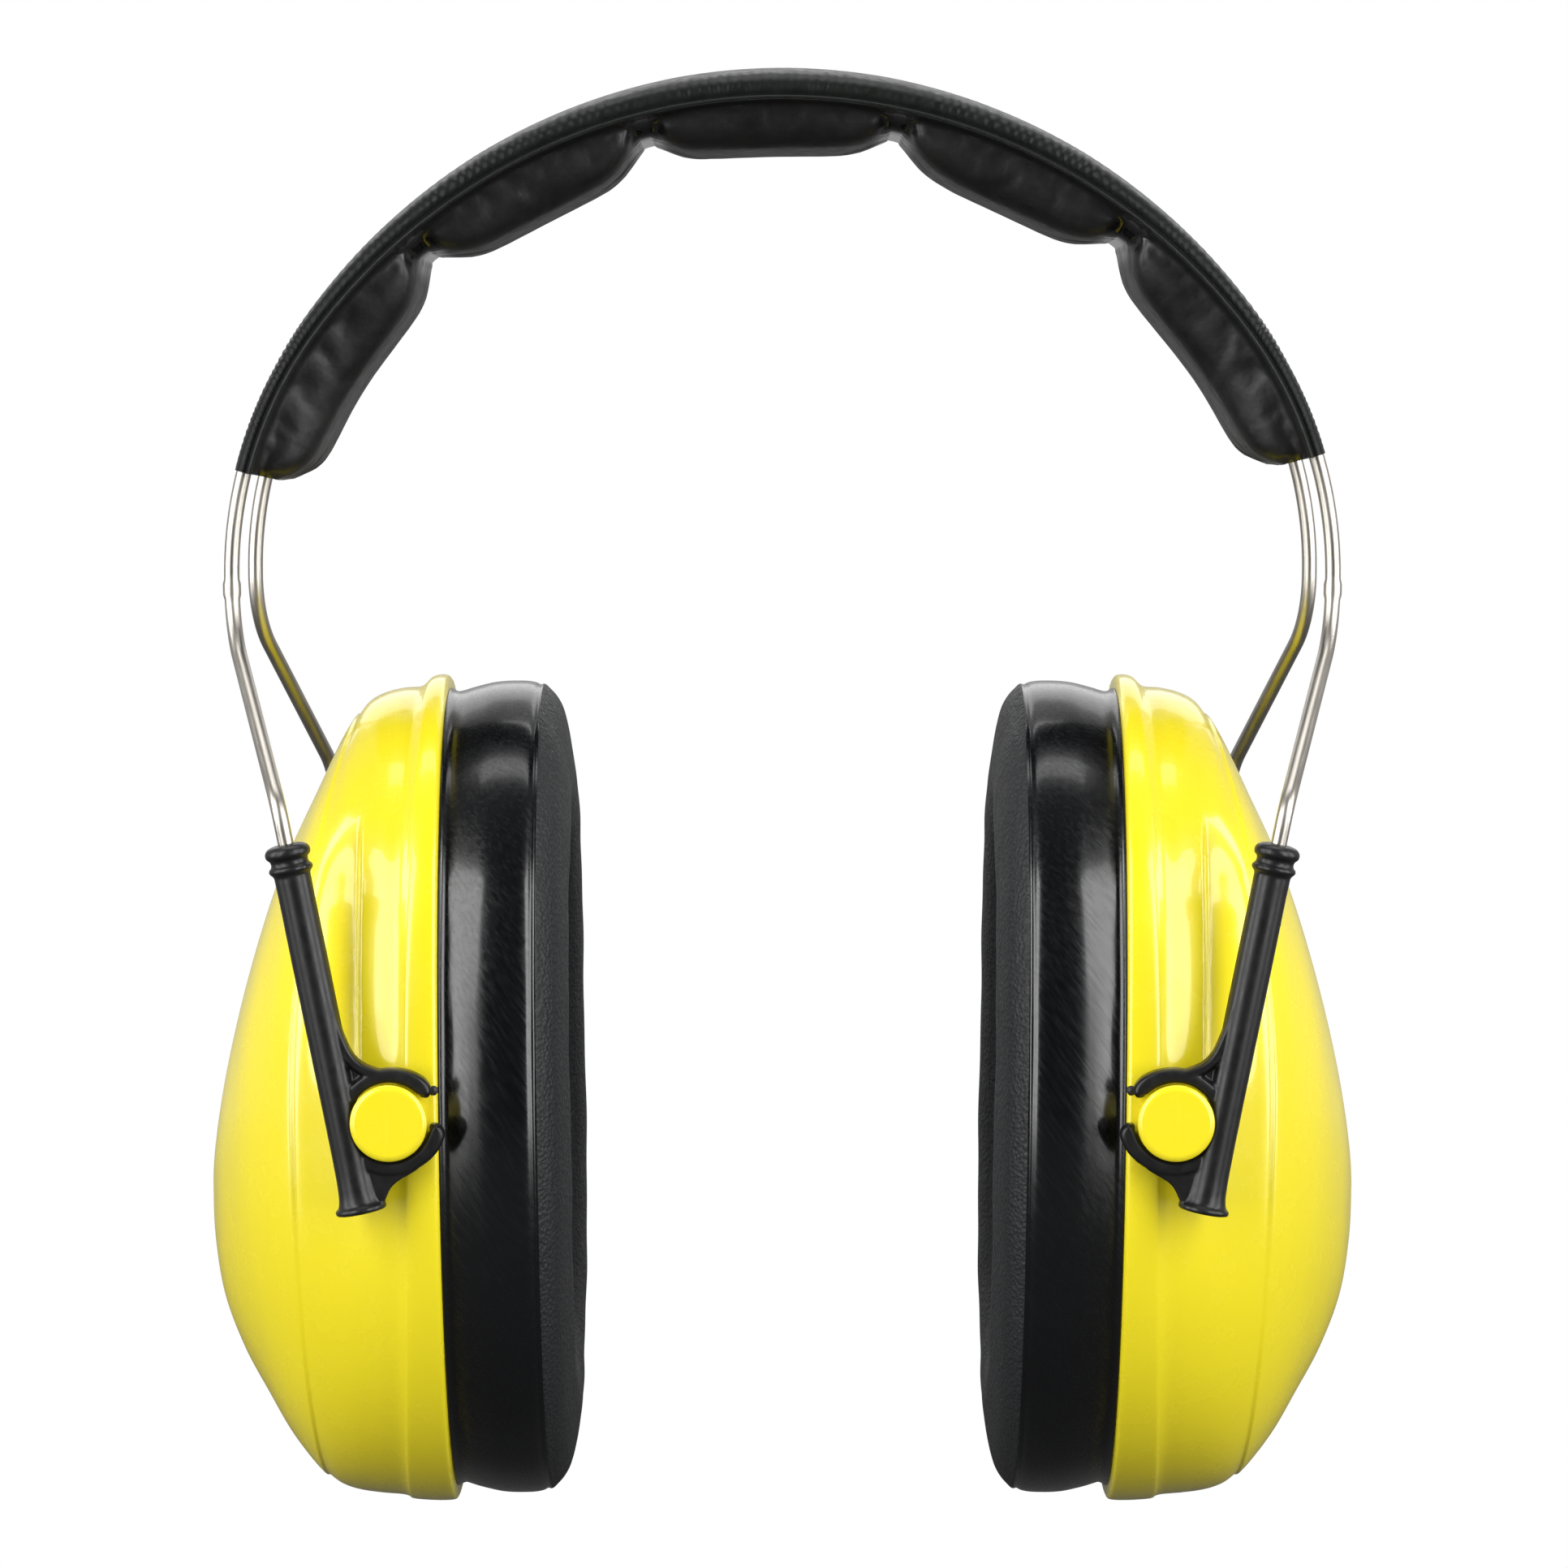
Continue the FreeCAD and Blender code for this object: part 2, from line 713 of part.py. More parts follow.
def cushion(side_name):
    side = SIDES[side_name]
    name = f"{side_name}_cushion"
    skin = size("CushionSkin")

    plate = oval_prism(
        name + "_plate_blank",
        side,
        size("PlateFrom"),
        "PlateHalfHeight",
        "PlateHalfWidth",
        "PlateDepth",
        "CupCentreHeight",
    )
    plate_hole = oval_prism(
        name + "_plate_hole",
        side,
        size("PlateFrom") - PAST,
        f"EarHalfHeight + {PAST}",
        f"EarHalfWidth + {PAST}",
        f"PlateDepth + {2 * PAST}",
        "CupCentreHeight",
    )
    label(add_cut(name + "_plate", plate, plate_hole), f"{side_name}_cushion_plate")

    block = oval_prism(
        name + "_block",
        side,
        size("CushionFace"),
        "CushionHalfHeight",
        "CushionHalfWidth",
        "CushionDepth",
        "CupCentreHeight",
    )
    ear_hole = oval_prism(
        name + "_ear_hole",
        side,
        size("CushionFace") - PAST,
        "EarHalfHeight",
        "EarHalfWidth",
        f"CushionDepth + {2 * PAST}",
        "CupCentreHeight",
    )
    ring = add_cut(name + "_ring", block, ear_hole)
    doc.recompute()
    rounded = doc.addObject("Part::Fillet", name + "_rounded")
    rounded.Base = ring
    rounded.Edges = rounded_edges(ring.Shape, size("CushionFace"), size("CushionRound"))

    foam_block = oval_prism(
        name + "_foam_block",
        side,
        size("CushionFace") + skin,
        "CushionHalfHeight - CushionSkin",
        "CushionHalfWidth - CushionSkin",
        "CushionDepth - CushionSkin",
        "CupCentreHeight",
    )
    foam_hole = oval_prism(
        name + "_foam_hole",
        side,
        size("CushionFace"),
        "EarHalfHeight + CushionSkin",
        "EarHalfWidth + CushionSkin",
        f"CushionDepth + {2 * PAST}",
        "CupCentreHeight",
    )
    foam_ring = add_cut(name + "_foam_ring", foam_block, foam_hole)
    doc.recompute()
    foam_round = size("CushionRound") - skin
    foam_face = size("CushionFace") + skin
    foam = doc.addObject("Part::Fillet", name + "_foam")
    foam.Base = foam_ring
    foam.Edges = rounded_edges(foam_ring.Shape, foam_face, foam_round)
    label(foam, f"{side_name}_cushion_foam")
    cover = add_cut(name + "_skin", rounded, foam)
    label(cover, f"{side_name}_cushion_cover")


for side_name in SIDES:
    cup_shell(side_name)
    absorber(side_name)
    cushion(side_name)

# ------------------------------------------------------------------ check, export

doc.recompute()
problems = []
for thing in doc.Objects:
    if "Invalid" in thing.State or "Error" in thing.State:
        problems.append(f"{thing.Name}: {thing.State}")
for node, thing in SUB_PARTS.items():
    shape = thing.Shape
    if shape.isNull() or not shape.isValid() or not shape.Solids:
        problems.append(f"{node}: no valid solid")
if problems:
    raise RuntimeError("; ".join(problems))

os.makedirs("parts", exist_ok=True)
whole = FreeCAD.BoundBox()
for node, thing in SUB_PARTS.items():
    thing.Shape.exportStep(f"parts/{node}.step")
    whole.add(thing.Shape.BoundBox)
    print(node, len(thing.Shape.Solids), round(thing.Shape.Volume, 1))
print("sub-parts", len(SUB_PARTS))
print("low", round(whole.XMin, 2), round(whole.YMin, 2), round(whole.ZMin, 2))
print("high", round(whole.XMax, 2), round(whole.YMax, 2), round(whole.ZMax, 2))
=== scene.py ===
import json
import math

import bmesh
import bpy
import numpy as np
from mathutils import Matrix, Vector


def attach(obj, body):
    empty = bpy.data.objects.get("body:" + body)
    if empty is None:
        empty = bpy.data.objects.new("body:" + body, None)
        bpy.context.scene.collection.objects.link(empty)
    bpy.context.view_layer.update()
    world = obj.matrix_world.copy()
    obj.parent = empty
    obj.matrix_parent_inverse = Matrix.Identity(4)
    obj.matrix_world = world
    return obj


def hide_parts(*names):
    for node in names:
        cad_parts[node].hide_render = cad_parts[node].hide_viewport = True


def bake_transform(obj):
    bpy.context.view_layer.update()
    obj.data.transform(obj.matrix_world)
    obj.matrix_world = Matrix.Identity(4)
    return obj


# Looks of an over-the-head earmuff: padded spring-wire band, slider sleeves that
# clip on to pivot studs, and two oval cups with sealing cushions. Shapes are
# worked out in millimetres on the right side (+X) and mirrored for the left.

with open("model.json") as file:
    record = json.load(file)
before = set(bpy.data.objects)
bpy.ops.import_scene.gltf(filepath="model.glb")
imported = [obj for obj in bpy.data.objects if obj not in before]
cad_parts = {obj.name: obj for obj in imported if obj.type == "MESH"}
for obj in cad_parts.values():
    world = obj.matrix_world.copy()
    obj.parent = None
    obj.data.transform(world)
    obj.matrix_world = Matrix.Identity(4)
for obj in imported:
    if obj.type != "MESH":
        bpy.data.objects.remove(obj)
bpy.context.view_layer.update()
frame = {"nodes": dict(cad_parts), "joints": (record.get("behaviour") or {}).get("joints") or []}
scene = bpy.context.scene

MM = 0.001
SIDES = {"left": -1, "right": 1}
FACES = {"front": -1, "rear": 1}
joints = {joint["name"]: joint for joint in frame["joints"]}

# ---------- curve helpers


def ease(value):
    """0 below 0, 1 above 1, and a smooth S between."""
    value = np.clip(value, 0.0, 1.0)
    return value * value * (3 - 2 * value)


def bump(value, centre, reach):
    """A bell of height 1 round a centre."""
    return np.exp(-(((value - centre) / reach) ** 2))


def spline(knots, count, closed=False):
    """Points of a smooth curve through the knots, closer together where the knots are."""
    knots = np.array(knots, float)
    if closed:
        knots = np.vstack([knots[-2:], knots, knots[:3]])
    gaps = np.linalg.norm(np.diff(knots, axis=0), axis=1) ** 0.5
    stops = np.concatenate([[0.0], np.cumsum(gaps)])
    slopes = np.gradient(knots, stops, axis=0)
    first, last = (stops[2], stops[-3]) if closed else (stops[0], stops[-1])
    at = np.linspace(first, last, count, endpoint=not closed)
    span = np.clip(np.searchsorted(stops, at, side="right") - 1, 0, len(stops) - 2)
    width = (stops[span + 1] - stops[span])[:, None]
    t = (at - stops[span])[:, None] / width
    start = (2 * t**3 - 3 * t**2 + 1) * knots[span]
    end = (3 * t**2 - 2 * t**3) * knots[span + 1]
    leave = (t**3 - 2 * t**2 + t) * width * slopes[span]
    arrive = (t**3 - t**2) * width * slopes[span + 1]
    return start + end + leave + arrive


def rounded_route(corners, radii, pitch):
    """Points along straight runs whose inner corners are rounded by these radii."""
    corners = [np.array(corner, float) for corner in corners]
    points = [corners[0]]
    for before, corner, after, radius in zip(corners, corners[1:], corners[2:], radii):
        back = (before - corner) / np.linalg.norm(before - corner)
        ahead = (after - corner) / np.linalg.norm(after - corner)
        half = math.acos(np.clip(back @ ahead, -1, 1)) / 2
        begin = corner + back * radius / math.tan(half)
        finish = corner + ahead * radius / math.tan(half)
        middle_way = (back + ahead) / np.linalg.norm(back + ahead)
        centre = corner + middle_way * radius / math.sin(half)
        turn = math.pi - 2 * half
        points += run(points[-1], begin, pitch)
        for t in np.linspace(0, 1, max(3, int(radius * turn / pitch)))[1:]:
            arms = math.sin((1 - t) * turn) * (begin - centre) + math.sin(t * turn) * (finish - centre)
            points.append(centre + arms / math.sin(turn))
    return points + run(points[-1], corners[-1], pitch)


def run(start, end, pitch):
    """Points of a straight run, without its first."""
    count = max(1, int(np.linalg.norm(end - start) / pitch))
    return [start + (end - start) * step / count for step in range(1, count + 1)]


# ---------- mesh helpers


def grid_patch(rows, wrap=True, start=None, end=None):
    """(points, faces) through rows of points, closed to a tip where one is given."""
    rows = np.asarray(rows, float)
    count, width = rows.shape[:2]
    index = np.arange(count * width).reshape(count, width)
    ahead = np.roll(index, -1, axis=1) if wrap else index[:, 1:]
    here = index if wrap else index[:, :-1]
    quads = np.stack([here[:-1], ahead[:-1], ahead[1:], here[1:]], axis=-1)
    faces = quads.reshape(-1, 4).tolist()
    points = [rows.reshape(-1, 3)]
    total = count * width
    for ring, tip in ((index[0], start), (index[-1], end)):
        if tip is not None:
            points.append(np.array([tip], float))
            faces += [[int(a), int(b), total] for a, b in zip(ring, np.roll(ring, -1))]
            total += 1
    return np.vstack(points), faces


def slab_patch(top, bottom):
    """A closed body between two grids of points of the same shape."""
    top = np.asarray(top, float)
    bottom = np.asarray(bottom, float)
    count, width = top.shape[:2]
    upper = np.arange(count * width).reshape(count, width)
    lower = upper + count * width
    faces = []
    for index in (upper, lower):
        quads = np.stack(
            [index[:-1, :-1], index[:-1, 1:], index[1:, 1:], index[1:, :-1]], axis=-1
        )
        faces += quads.reshape(-1, 4).tolist()
    for edge in (np.s_[0, :], np.s_[-1, :], np.s_[:, 0], np.s_[:, -1]):
        above, below = upper[edge], lower[edge]
        faces += np.stack([above[:-1], above[1:], below[1:], below[:-1]], axis=-1).tolist()
    return np.vstack([top.reshape(-1, 3), bottom.reshape(-1, 3)]), faces


def lathe_patch(profile, foot, axis, count=64):
    """A turned body. The profile is (radius, distance along the axis), and it is
    closed on the axis at both ends."""
    foot = np.array(foot, float)
    axis = np.array(axis, float) / np.linalg.norm(axis)
    side = np.cross(axis, (0, 1, 0) if abs(axis[1]) < 0.9 else (0, 0, 1))
    side /= np.linalg.norm(side)
    other = np.cross(axis, side)
    turn = np.linspace(0, 2 * math.pi, count, endpoint=False)
    spokes = np.cos(turn)[:, None] * side + np.sin(turn)[:, None] * other
    rows = [foot + axis * along + spokes * radius for radius, along in profile]
    tips = [foot + axis * profile[end][1] for end in (0, -1)]
    return grid_patch(rows, start=tips[0], end=tips[1])


def tube_patch(points, radius, count=20):
    """A round bar along a route. The radius is one number or one for each point."""
    points = np.array(points, float)
    radii = np.broadcast_to(radius, len(points))
    ahead = np.gradient(points, axis=0)
    ahead /= np.linalg.norm(ahead, axis=1)[:, None]
    side = np.cross(ahead[0], (0.0, 1.0, 0.0))
    turn = np.linspace(0, 2 * math.pi, count, endpoint=False)[:, None]
    rows = []
    for point, tangent, reach in zip(points, ahead, radii):
        side = side - tangent * (side @ tangent)
        side /= np.linalg.norm(side)
        other = np.cross(tangent, side)
        rows.append(point + reach * (np.cos(turn) * side + np.sin(turn) * other))
    return grid_patch(rows, start=points[0], end=points[-1])


def bar_patch(points, half_width, half_depth, count=28):
    """A squarish bar whose route lies across Y. The sizes are numbers or one for
    each point, and half_depth lies along Y."""
    points = np.array(points, float)
    ahead = np.gradient(points, axis=0)
    ahead /= np.linalg.norm(ahead, axis=1)[:, None]
    side = np.stack([-ahead[:, 2], 0 * ahead[:, 0], ahead[:, 0]], axis=-1)
    turn = np.linspace(0, 2 * math.pi, count, endpoint=False)
    across = np.sign(np.cos(turn)) * np.abs(np.cos(turn)) ** 0.5
    deep = np.sign(np.sin(turn)) * np.abs(np.sin(turn)) ** 0.5
    width = np.broadcast_to(half_width, len(points))[:, None, None]
    depth = np.broadcast_to(half_depth, len(points))[:, None, None]
    rows = points[:, None] + side[:, None] * across[:, None] * width
    rows = rows + np.array([0, 1, 0]) * deep[:, None] * depth
    return grid_patch(rows, start=points[0], end=points[-1])


def make_piece(name, patches, side=1, sharp=None, merge=False):
    """A mesh object from patches in millimetres, mirrored when side is -1."""
    points, faces, offset = [], [], 0
    for patch_points, patch_faces in patches:
        points.append(patch_points)
        faces += [[i + offset for i in face] for face in patch_faces]
        offset += len(patch_points)
    mesh = bpy.data.meshes.new(name)
    mesh.from_pydata((np.vstack(points) * MM * (side, 1, 1)).tolist(), [], faces)
    return finish_mesh(name, mesh, sharp, merge)


def finish_mesh(name, mesh, sharp=None, merge=False):
    """Links a mesh with its faces turned outwards and shaded smooth. Merging joins
    the first and last rows of a ring that closes on itself."""
    work = bmesh.new()
    work.from_mesh(mesh)
    if merge:
        bmesh.ops.remove_doubles(work, verts=work.verts, dist=1e-6)
    bmesh.ops.recalc_face_normals(work, faces=work.faces)
    work.to_mesh(mesh)
    work.free()
    mesh.shade_smooth()
    if sharp:
        mesh.set_sharp_from_angle(angle=math.radians(sharp))
    piece = bpy.data.objects.new(name, mesh)
    scene.collection.objects.link(piece)
    return piece


def dress(piece, slot, *looks):
    """Gives a piece its materials."""
    for look in looks:
        piece.data.materials.append(look)
    return piece


def bake_modifiers(piece, sharp=None):
    """The same object with the result of its modifiers as its mesh."""
    seen = bpy.context.evaluated_depsgraph_get()
    result = bpy.data.meshes.new_from_object(piece.evaluated_get(seen))
    name = piece.name
    bpy.data.objects.remove(piece)
    return finish_mesh(name, result, sharp)


# ---------- materials


class Nodes:
    """Short ways to add nodes to a node tree."""

    def __init__(self, tree):
        self.tree = tree

    def node(self, kind, links=(), **values):
        node = self.tree.nodes.new(kind)
        for key, value in values.items():
            if key in node.inputs:
                node.inputs[key].default_value = value
            else:
                setattr(node, key, value)
        for socket, source in dict(links).items():
            self.tree.links.new(source, node.inputs[socket])
        return node

    def spread(self, source, low, high, from_low=0.3, from_high=0.7):
        """A source stretched to run from low to high."""
        node = self.node(
            "ShaderNodeMapRange",
            {"Value": source},
            **{"From Min": from_low, "From Max": from_high, "To Min": low, "To Max": high},
        )
        return node.outputs["Result"]


class Look(Nodes):
    """A principled material with colour, roughness and relief from its nodes."""

    def __init__(self, name, **sockets):
        self.material = bpy.data.materials.new(name)
        self.material.use_nodes = True
        super().__init__(self.material.node_tree)
        self.shader = self.tree.nodes["Principled BSDF"]
        for socket, value in sockets.items():
            self.shader.inputs[socket.replace("_", " ")].default_value = value
        self.place = self.tree.nodes.new("ShaderNodeTexCoord").outputs["Object"]
        self.height = None

    def stretched(self, scale, turn=(0, 0, 0)):
        """Object coordinates, turned and then scaled."""
        turned = self.node("ShaderNodeMapping", {"Vector": self.place}, Rotation=turn)
        return self.node(
            "ShaderNodeMapping", {"Vector": turned.outputs[0]}, Scale=scale
        ).outputs[0]

    def noise(self, scale, detail=3.0, vector=None, distortion=0.0):
        return self.node(
            "ShaderNodeTexNoise",
            {"Vector": vector or self.place},
            Scale=scale,
            Detail=detail,
            Distortion=distortion,
        ).outputs["Fac"]

    def cells(self, scale, vector=None, feature="F1"):
        return self.node(
            "ShaderNodeTexVoronoi",
            {"Vector": vector or self.place},
            feature=feature,
            Scale=scale,
        ).outputs["Distance"]

    def colour(self, source, low, high):
        """Base colour that varies between two colours."""
        mix = self.node("ShaderNodeMix", {"Factor": source}, data_type="RGBA")
        ends = [socket for socket in mix.inputs if socket.type == "RGBA"]
        for socket, value in zip(ends, (low, high)):
            socket.default_value = (*value, 1)
        mixed = [socket for socket in mix.outputs if socket.type == "RGBA"]
        self.tree.links.new(mixed[0], self.shader.inputs["Base Color"])

    def roughness(self, source, low, high):
        ranged = self.spread(source, low, high)
        self.tree.links.new(ranged, self.shader.inputs["Roughness"])

    def relief(self, source, depth, strength=1.0):
        """Bump of a depth in millimetres, added over any earlier one."""
        links = {"Height": source}
        if self.height:
            links["Normal"] = self.height
        node = self.node("ShaderNodeBump", links, Strength=strength, Distance=depth * MM)
        self.height = node.outputs["Normal"]
        self.tree.links.new(self.height, self.shader.inputs["Normal"])


def yellow_plastic():
    look = Look("yellow_plastic", Coat_Weight=0.5, Coat_Roughness=0.03, Coat_IOR=1.5)
    look.colour(look.noise(45, 2), (0.86, 0.715, 0.012), (0.89, 0.755, 0.020))
    look.roughness(look.noise(260, 4), 0.22, 0.30)
    look.relief(look.noise(1500, 2), 0.004, 0.4)
    return look.material


def cushion_side_vinyl():
    look = Look("cushion_side_vinyl", Coat_Weight=0.25, Coat_Roughness=0.10)
    look.colour(look.noise(160, 4), (0.0015, 0.0017, 0.0022), (0.0035, 0.004, 0.005))
    scuffs = look.noise(1, 3, look.stretched((2600, 2600, 260), (0.0, 0.6, 0.0)))
    look.roughness(scuffs, 0.17, 0.30)
    look.relief(look.noise(120, 2), 0.05, 0.6)
    look.relief(scuffs, 0.012, 0.7)
    return look.material


def cushion_face_vinyl():
    look = Look("cushion_face_vinyl", Specular_IOR_Level=0.3)
    grain = look.cells(1900)
    look.colour(look.noise(2600, 3), (0.008, 0.0085, 0.009), (0.028, 0.029, 0.031))
    look.roughness(look.noise(900, 3), 0.46, 0.62)
    look.relief(grain, 0.16, 0.9)
    look.relief(look.noise(3800, 2), 0.04, 0.6)
    return look.material


def cover_vinyl():
    look = Look("cover_vinyl", Specular_IOR_Level=0.18)
    look.colour(look.noise(300, 4), (0.003, 0.0038, 0.0033), (0.0075, 0.009, 0.008))
    look.roughness(look.noise(700, 3), 0.36, 0.50)
    look.relief(look.cells(1300, feature="SMOOTH_F1"), 0.05, 0.7)
    look.relief(look.noise(3000, 3), 0.02, 0.6)
    return look.material


def lining_vinyl():
    look = Look("lining_vinyl", Specular_IOR_Level=0.4)
    look.colour(look.noise(260, 4), (0.004, 0.004, 0.005), (0.009, 0.009, 0.010))
    weld = look.node("ShaderNodeAttribute", attribute_name="weld").outputs["Fac"]
    rough = look.spread(look.noise(600, 3), 0.38, 0.50)
    polished = look.node(
        "ShaderNodeMapRange", {"Value": weld, "To Min": rough}, **{"To Max": 0.10}
    )
    look.tree.links.new(polished.outputs["Result"], look.shader.inputs["Roughness"])
    look.relief(look.cells(1700, feature="SMOOTH_F1"), 0.03, 0.6)
    look.relief(look.noise(220, 3), 0.08, 0.35)
    return look.material


def drawn_steel():
    look = Look("drawn_steel", Metallic=1.0)
    grain = look.node("ShaderNodeAttribute", attribute_name="grain").outputs["Vector"]
    streaks = look.noise(1, 4, grain)
    look.colour(streaks, (0.38, 0.355, 0.315), (0.56, 0.53, 0.48))
    look.roughness(streaks, 0.30, 0.42)
    look.relief(streaks, 0.003, 0.5)
    return look.material


def sleeve_plastic():
    look = Look("sleeve_plastic", Specular_IOR_Level=0.4)
    look.colour(look.noise(400, 3), (0.005, 0.005, 0.005), (0.010, 0.010, 0.011))
    look.roughness(look.noise(900, 3), 0.30, 0.42)
    look.relief(look.noise(1500, 3), 0.02, 0.6)
    look.relief(look.noise(300, 2), 0.04, 0.3)
    return look.material


def open_cell_foam():
    look = Look("open_cell_foam", Sheen_Weight=0.2)
    pores = look.cells(900)
    look.colour(pores, (0.006, 0.006, 0.007), (0.075, 0.075, 0.080))
    look.roughness(look.noise(500), 0.85, 0.98)
    look.relief(pores, 0.7, 1.0)
    look.relief(look.noise(1700, 4), 0.3, 0.8)
    return look.material


def plate_plastic():
    look = Look("plate_plastic")
    look.colour(look.noise(300, 3), (0.012, 0.012, 0.013), (0.022, 0.022, 0.024))
    look.roughness(look.noise(500, 3), 0.42, 0.55)
    look.relief(look.noise(1200, 3), 0.02, 0.6)
    return look.material


YELLOW = yellow_plastic()
CUSHION_SIDE = cushion_side_vinyl()
CUSHION_FACE = cushion_face_vinyl()
COVER = cover_vinyl()
LINING = lining_vinyl()
STEEL = drawn_steel()
SLEEVE = sleeve_plastic()
FOAM = open_cell_foam()
PLATE = plate_plastic()

# ---------- cups

PIVOT_OUT, _, PIVOT_UP = (value / MM for value in joints["right_cup_tilt"]["pos_m"])
CUP_LEAN = math.radians(0.6)  # foot inwards, about the pivot
CUP_SQUARENESS = 2.25
OVAL_STEPS = 256


def leaned(points):
    """Turns points of an upright cup about its pivot."""
    x = points[..., 0] - PIVOT_OUT
    z = points[..., 2] - PIVOT_UP
    turned = points.copy()
    turned[..., 0] = PIVOT_OUT + x * math.cos(CUP_LEAN) + z * math.sin(CUP_LEAN)
    turned[..., 2] = PIVOT_UP + z * math.cos(CUP_LEAN) - x * math.sin(CUP_LEAN)
    return turned


def oval_rows(stations, squareness=CUP_SQUARENESS, count=OVAL_STEPS):
    """Ovals through stations. Each is how far out and how high the oval is at its
    top, how far out and how wide at its sides, and how far out and low at its foot."""
    turn = np.linspace(0, 2 * math.pi, count, endpoint=False)
    power = 2 / squareness
    across = np.sign(np.cos(turn)) * np.abs(np.cos(turn)) ** power
    upward = np.sign(np.sin(turn)) * np.abs(np.sin(turn)) ** power
    top_out, top, side_out, half_width, foot_out, foot = np.array(stations).T[:, :, None]
    centre = (top + foot) / 2
    up = np.clip(upward, 0, 1) ** 2
    down = np.clip(-upward, 0, 1) ** 2
    out = side_out + (top_out - side_out) * up + (foot_out - side_out) * down
    rows = np.stack(
        [out, half_width * across, centre + (top - foot) / 2 * upward], axis=-1
    )
    return rows


# (out, height) at the top, (out, half width) at the side, (out, height) at the foot
SHELL_STATIONS = [
    (41.05, 13.30, 41.05, 38.00, 41.05, -89.10),
    (41.35, 13.70, 41.35, 38.40, 41.35, -89.50),
    (43.30, 13.55, 44.60, 38.35, 46.60, -89.35),
    (43.90, 12.95, 45.20, 38.10, 47.10, -89.05),
    (44.60, 12.45, 46.00, 37.75, 47.80, -88.85),
    (46.80, 12.25, 48.50, 37.10, 50.50, -88.60),
    (49.00, 11.75, 52.00, 35.90, 53.30, -88.20),
    (50.90, 10.80, 55.50, 34.30, 55.40, -87.50),
    (52.20, 9.20, 58.60, 32.50, 56.90, -86.40),
    (53.60, 7.00, 60.90, 30.20, 58.30, -85.00),
    (57.00, 0.20, 63.50, 26.60, 61.20, -81.20),
    (61.00, -8.20, 65.70, 22.70, 64.10, -76.20),
    (65.00, -19.60, 67.80, 17.60, 67.20, -70.60),
    (68.40, -32.00, 69.60, 12.00, 69.80, -63.80),
    (70.40, -42.00, 70.80, 6.00, 71.00, -56.80),
    (71.20, -47.80, 71.20, 2.40, 71.25, -52.40),
]
SHELL_SHOULDER = 8  # the station where the wall turns into the raised outer face
SHELL_CROWN = (71.3, 0.0, -50.0)
SHELL_WALL = 2.5
HOLLOW_END = 1.5  # the height at which the hollow inside the shell is closed
PANEL_RISE = 0.28
PANEL_EDGE = 0.5
TROUGH_DEPTH = 1.8
TROUGH_FROM = 50.2  # how far out the trough beside the sleeve begins
TROUGH_EDGE = 0.7
TROUGH_WIDTH = 6.5
TROUGH_TOP = -1.0
TROUGH_FOOT = -36.0
TROUGH_FADE = 8.0
TROUGH_HALF_FROM = 14.0  # half width past which the wall can carry a trough
TROUGH_HALF_FADE = 6.0


def grid_normals(rows):
    """Unit normals of a grid of points whose columns close round, facing out."""
    wrapped = np.concatenate([rows[:, -1:], rows, rows[:, :1]], axis=1)
    round_way = (wrapped[:, 2:] - wrapped[:, :-2]) / 2
    normals = np.cross(round_way, np.gradient(rows, axis=0))
    normals /= np.linalg.norm(normals, axis=-1)[..., None] + 1e-12
    return normals


def cup_shell(side_name):
    """The moulded shell: a stepped rim, a flat wall with a trough beside each
    sleeve, and a raised outer face."""
    stations = spline(SHELL_STATIONS, 250)
    rows = oval_rows(stations)
    shoulder = SHELL_STATIONS[SHELL_SHOULDER]
    past_shoulder = (stations[:, 2] - shoulder[2]) / PANEL_EDGE
    normals = grid_normals(rows)
    rows += normals * (PANEL_RISE * ease(past_shoulder))[:, None, None]
    out, y, z = rows[..., 0], rows[..., 1], rows[..., 2]
    begins = ease((out - TROUGH_FROM) / TROUGH_EDGE)
    ends = 1 - ease((out - TROUGH_FROM - TROUGH_EDGE) / TROUGH_WIDTH)
    tall = ease((TROUGH_TOP - z) / TROUGH_FADE) * ease((z - TROUGH_FOOT) / TROUGH_FADE)
    on_side = ease((np.abs(y) - TROUGH_HALF_FROM) / TROUGH_HALF_FADE)
    rows[..., 1] -= np.sign(y) * TROUGH_DEPTH * begins * ends * tall * on_side
    inner = spline(SHELL_STATIONS, 50)
    rim_out = SHELL_STATIONS[0][0]
    shrink = 1 - SHELL_WALL / (SHELL_CROWN[0] - rim_out)
    for column in (0, 2, 4):
        inner[:, column] = rim_out + (inner[:, column] - rim_out) * shrink
    inner[:, 1] -= SHELL_WALL
    inner[:, 3] = np.maximum(inner[:, 3] - SHELL_WALL, 0.4)
    inner[:, 5] += SHELL_WALL
    hollow = inner[inner[:, 1] - inner[:, 5] > HOLLOW_END]
    inner_rows = oval_rows(hollow)[::-1]
    crown = leaned(np.array(SHELL_CROWN) + (PANEL_RISE, 0, 0))
    inner_crown = leaned(inner_rows[0].mean(axis=0) + (0.1, 0, 0))
    patch = grid_patch(
        leaned(np.concatenate([inner_rows, rows])), start=inner_crown, end=crown
    )
    shell = make_piece(f"{side_name}_shell", [patch], SIDES[side_name], sharp=50)
    dress(shell, "cup_plastic", YELLOW)
    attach(shell, f"{side_name}_cup")
    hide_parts(f"{side_name}_cup_shell")


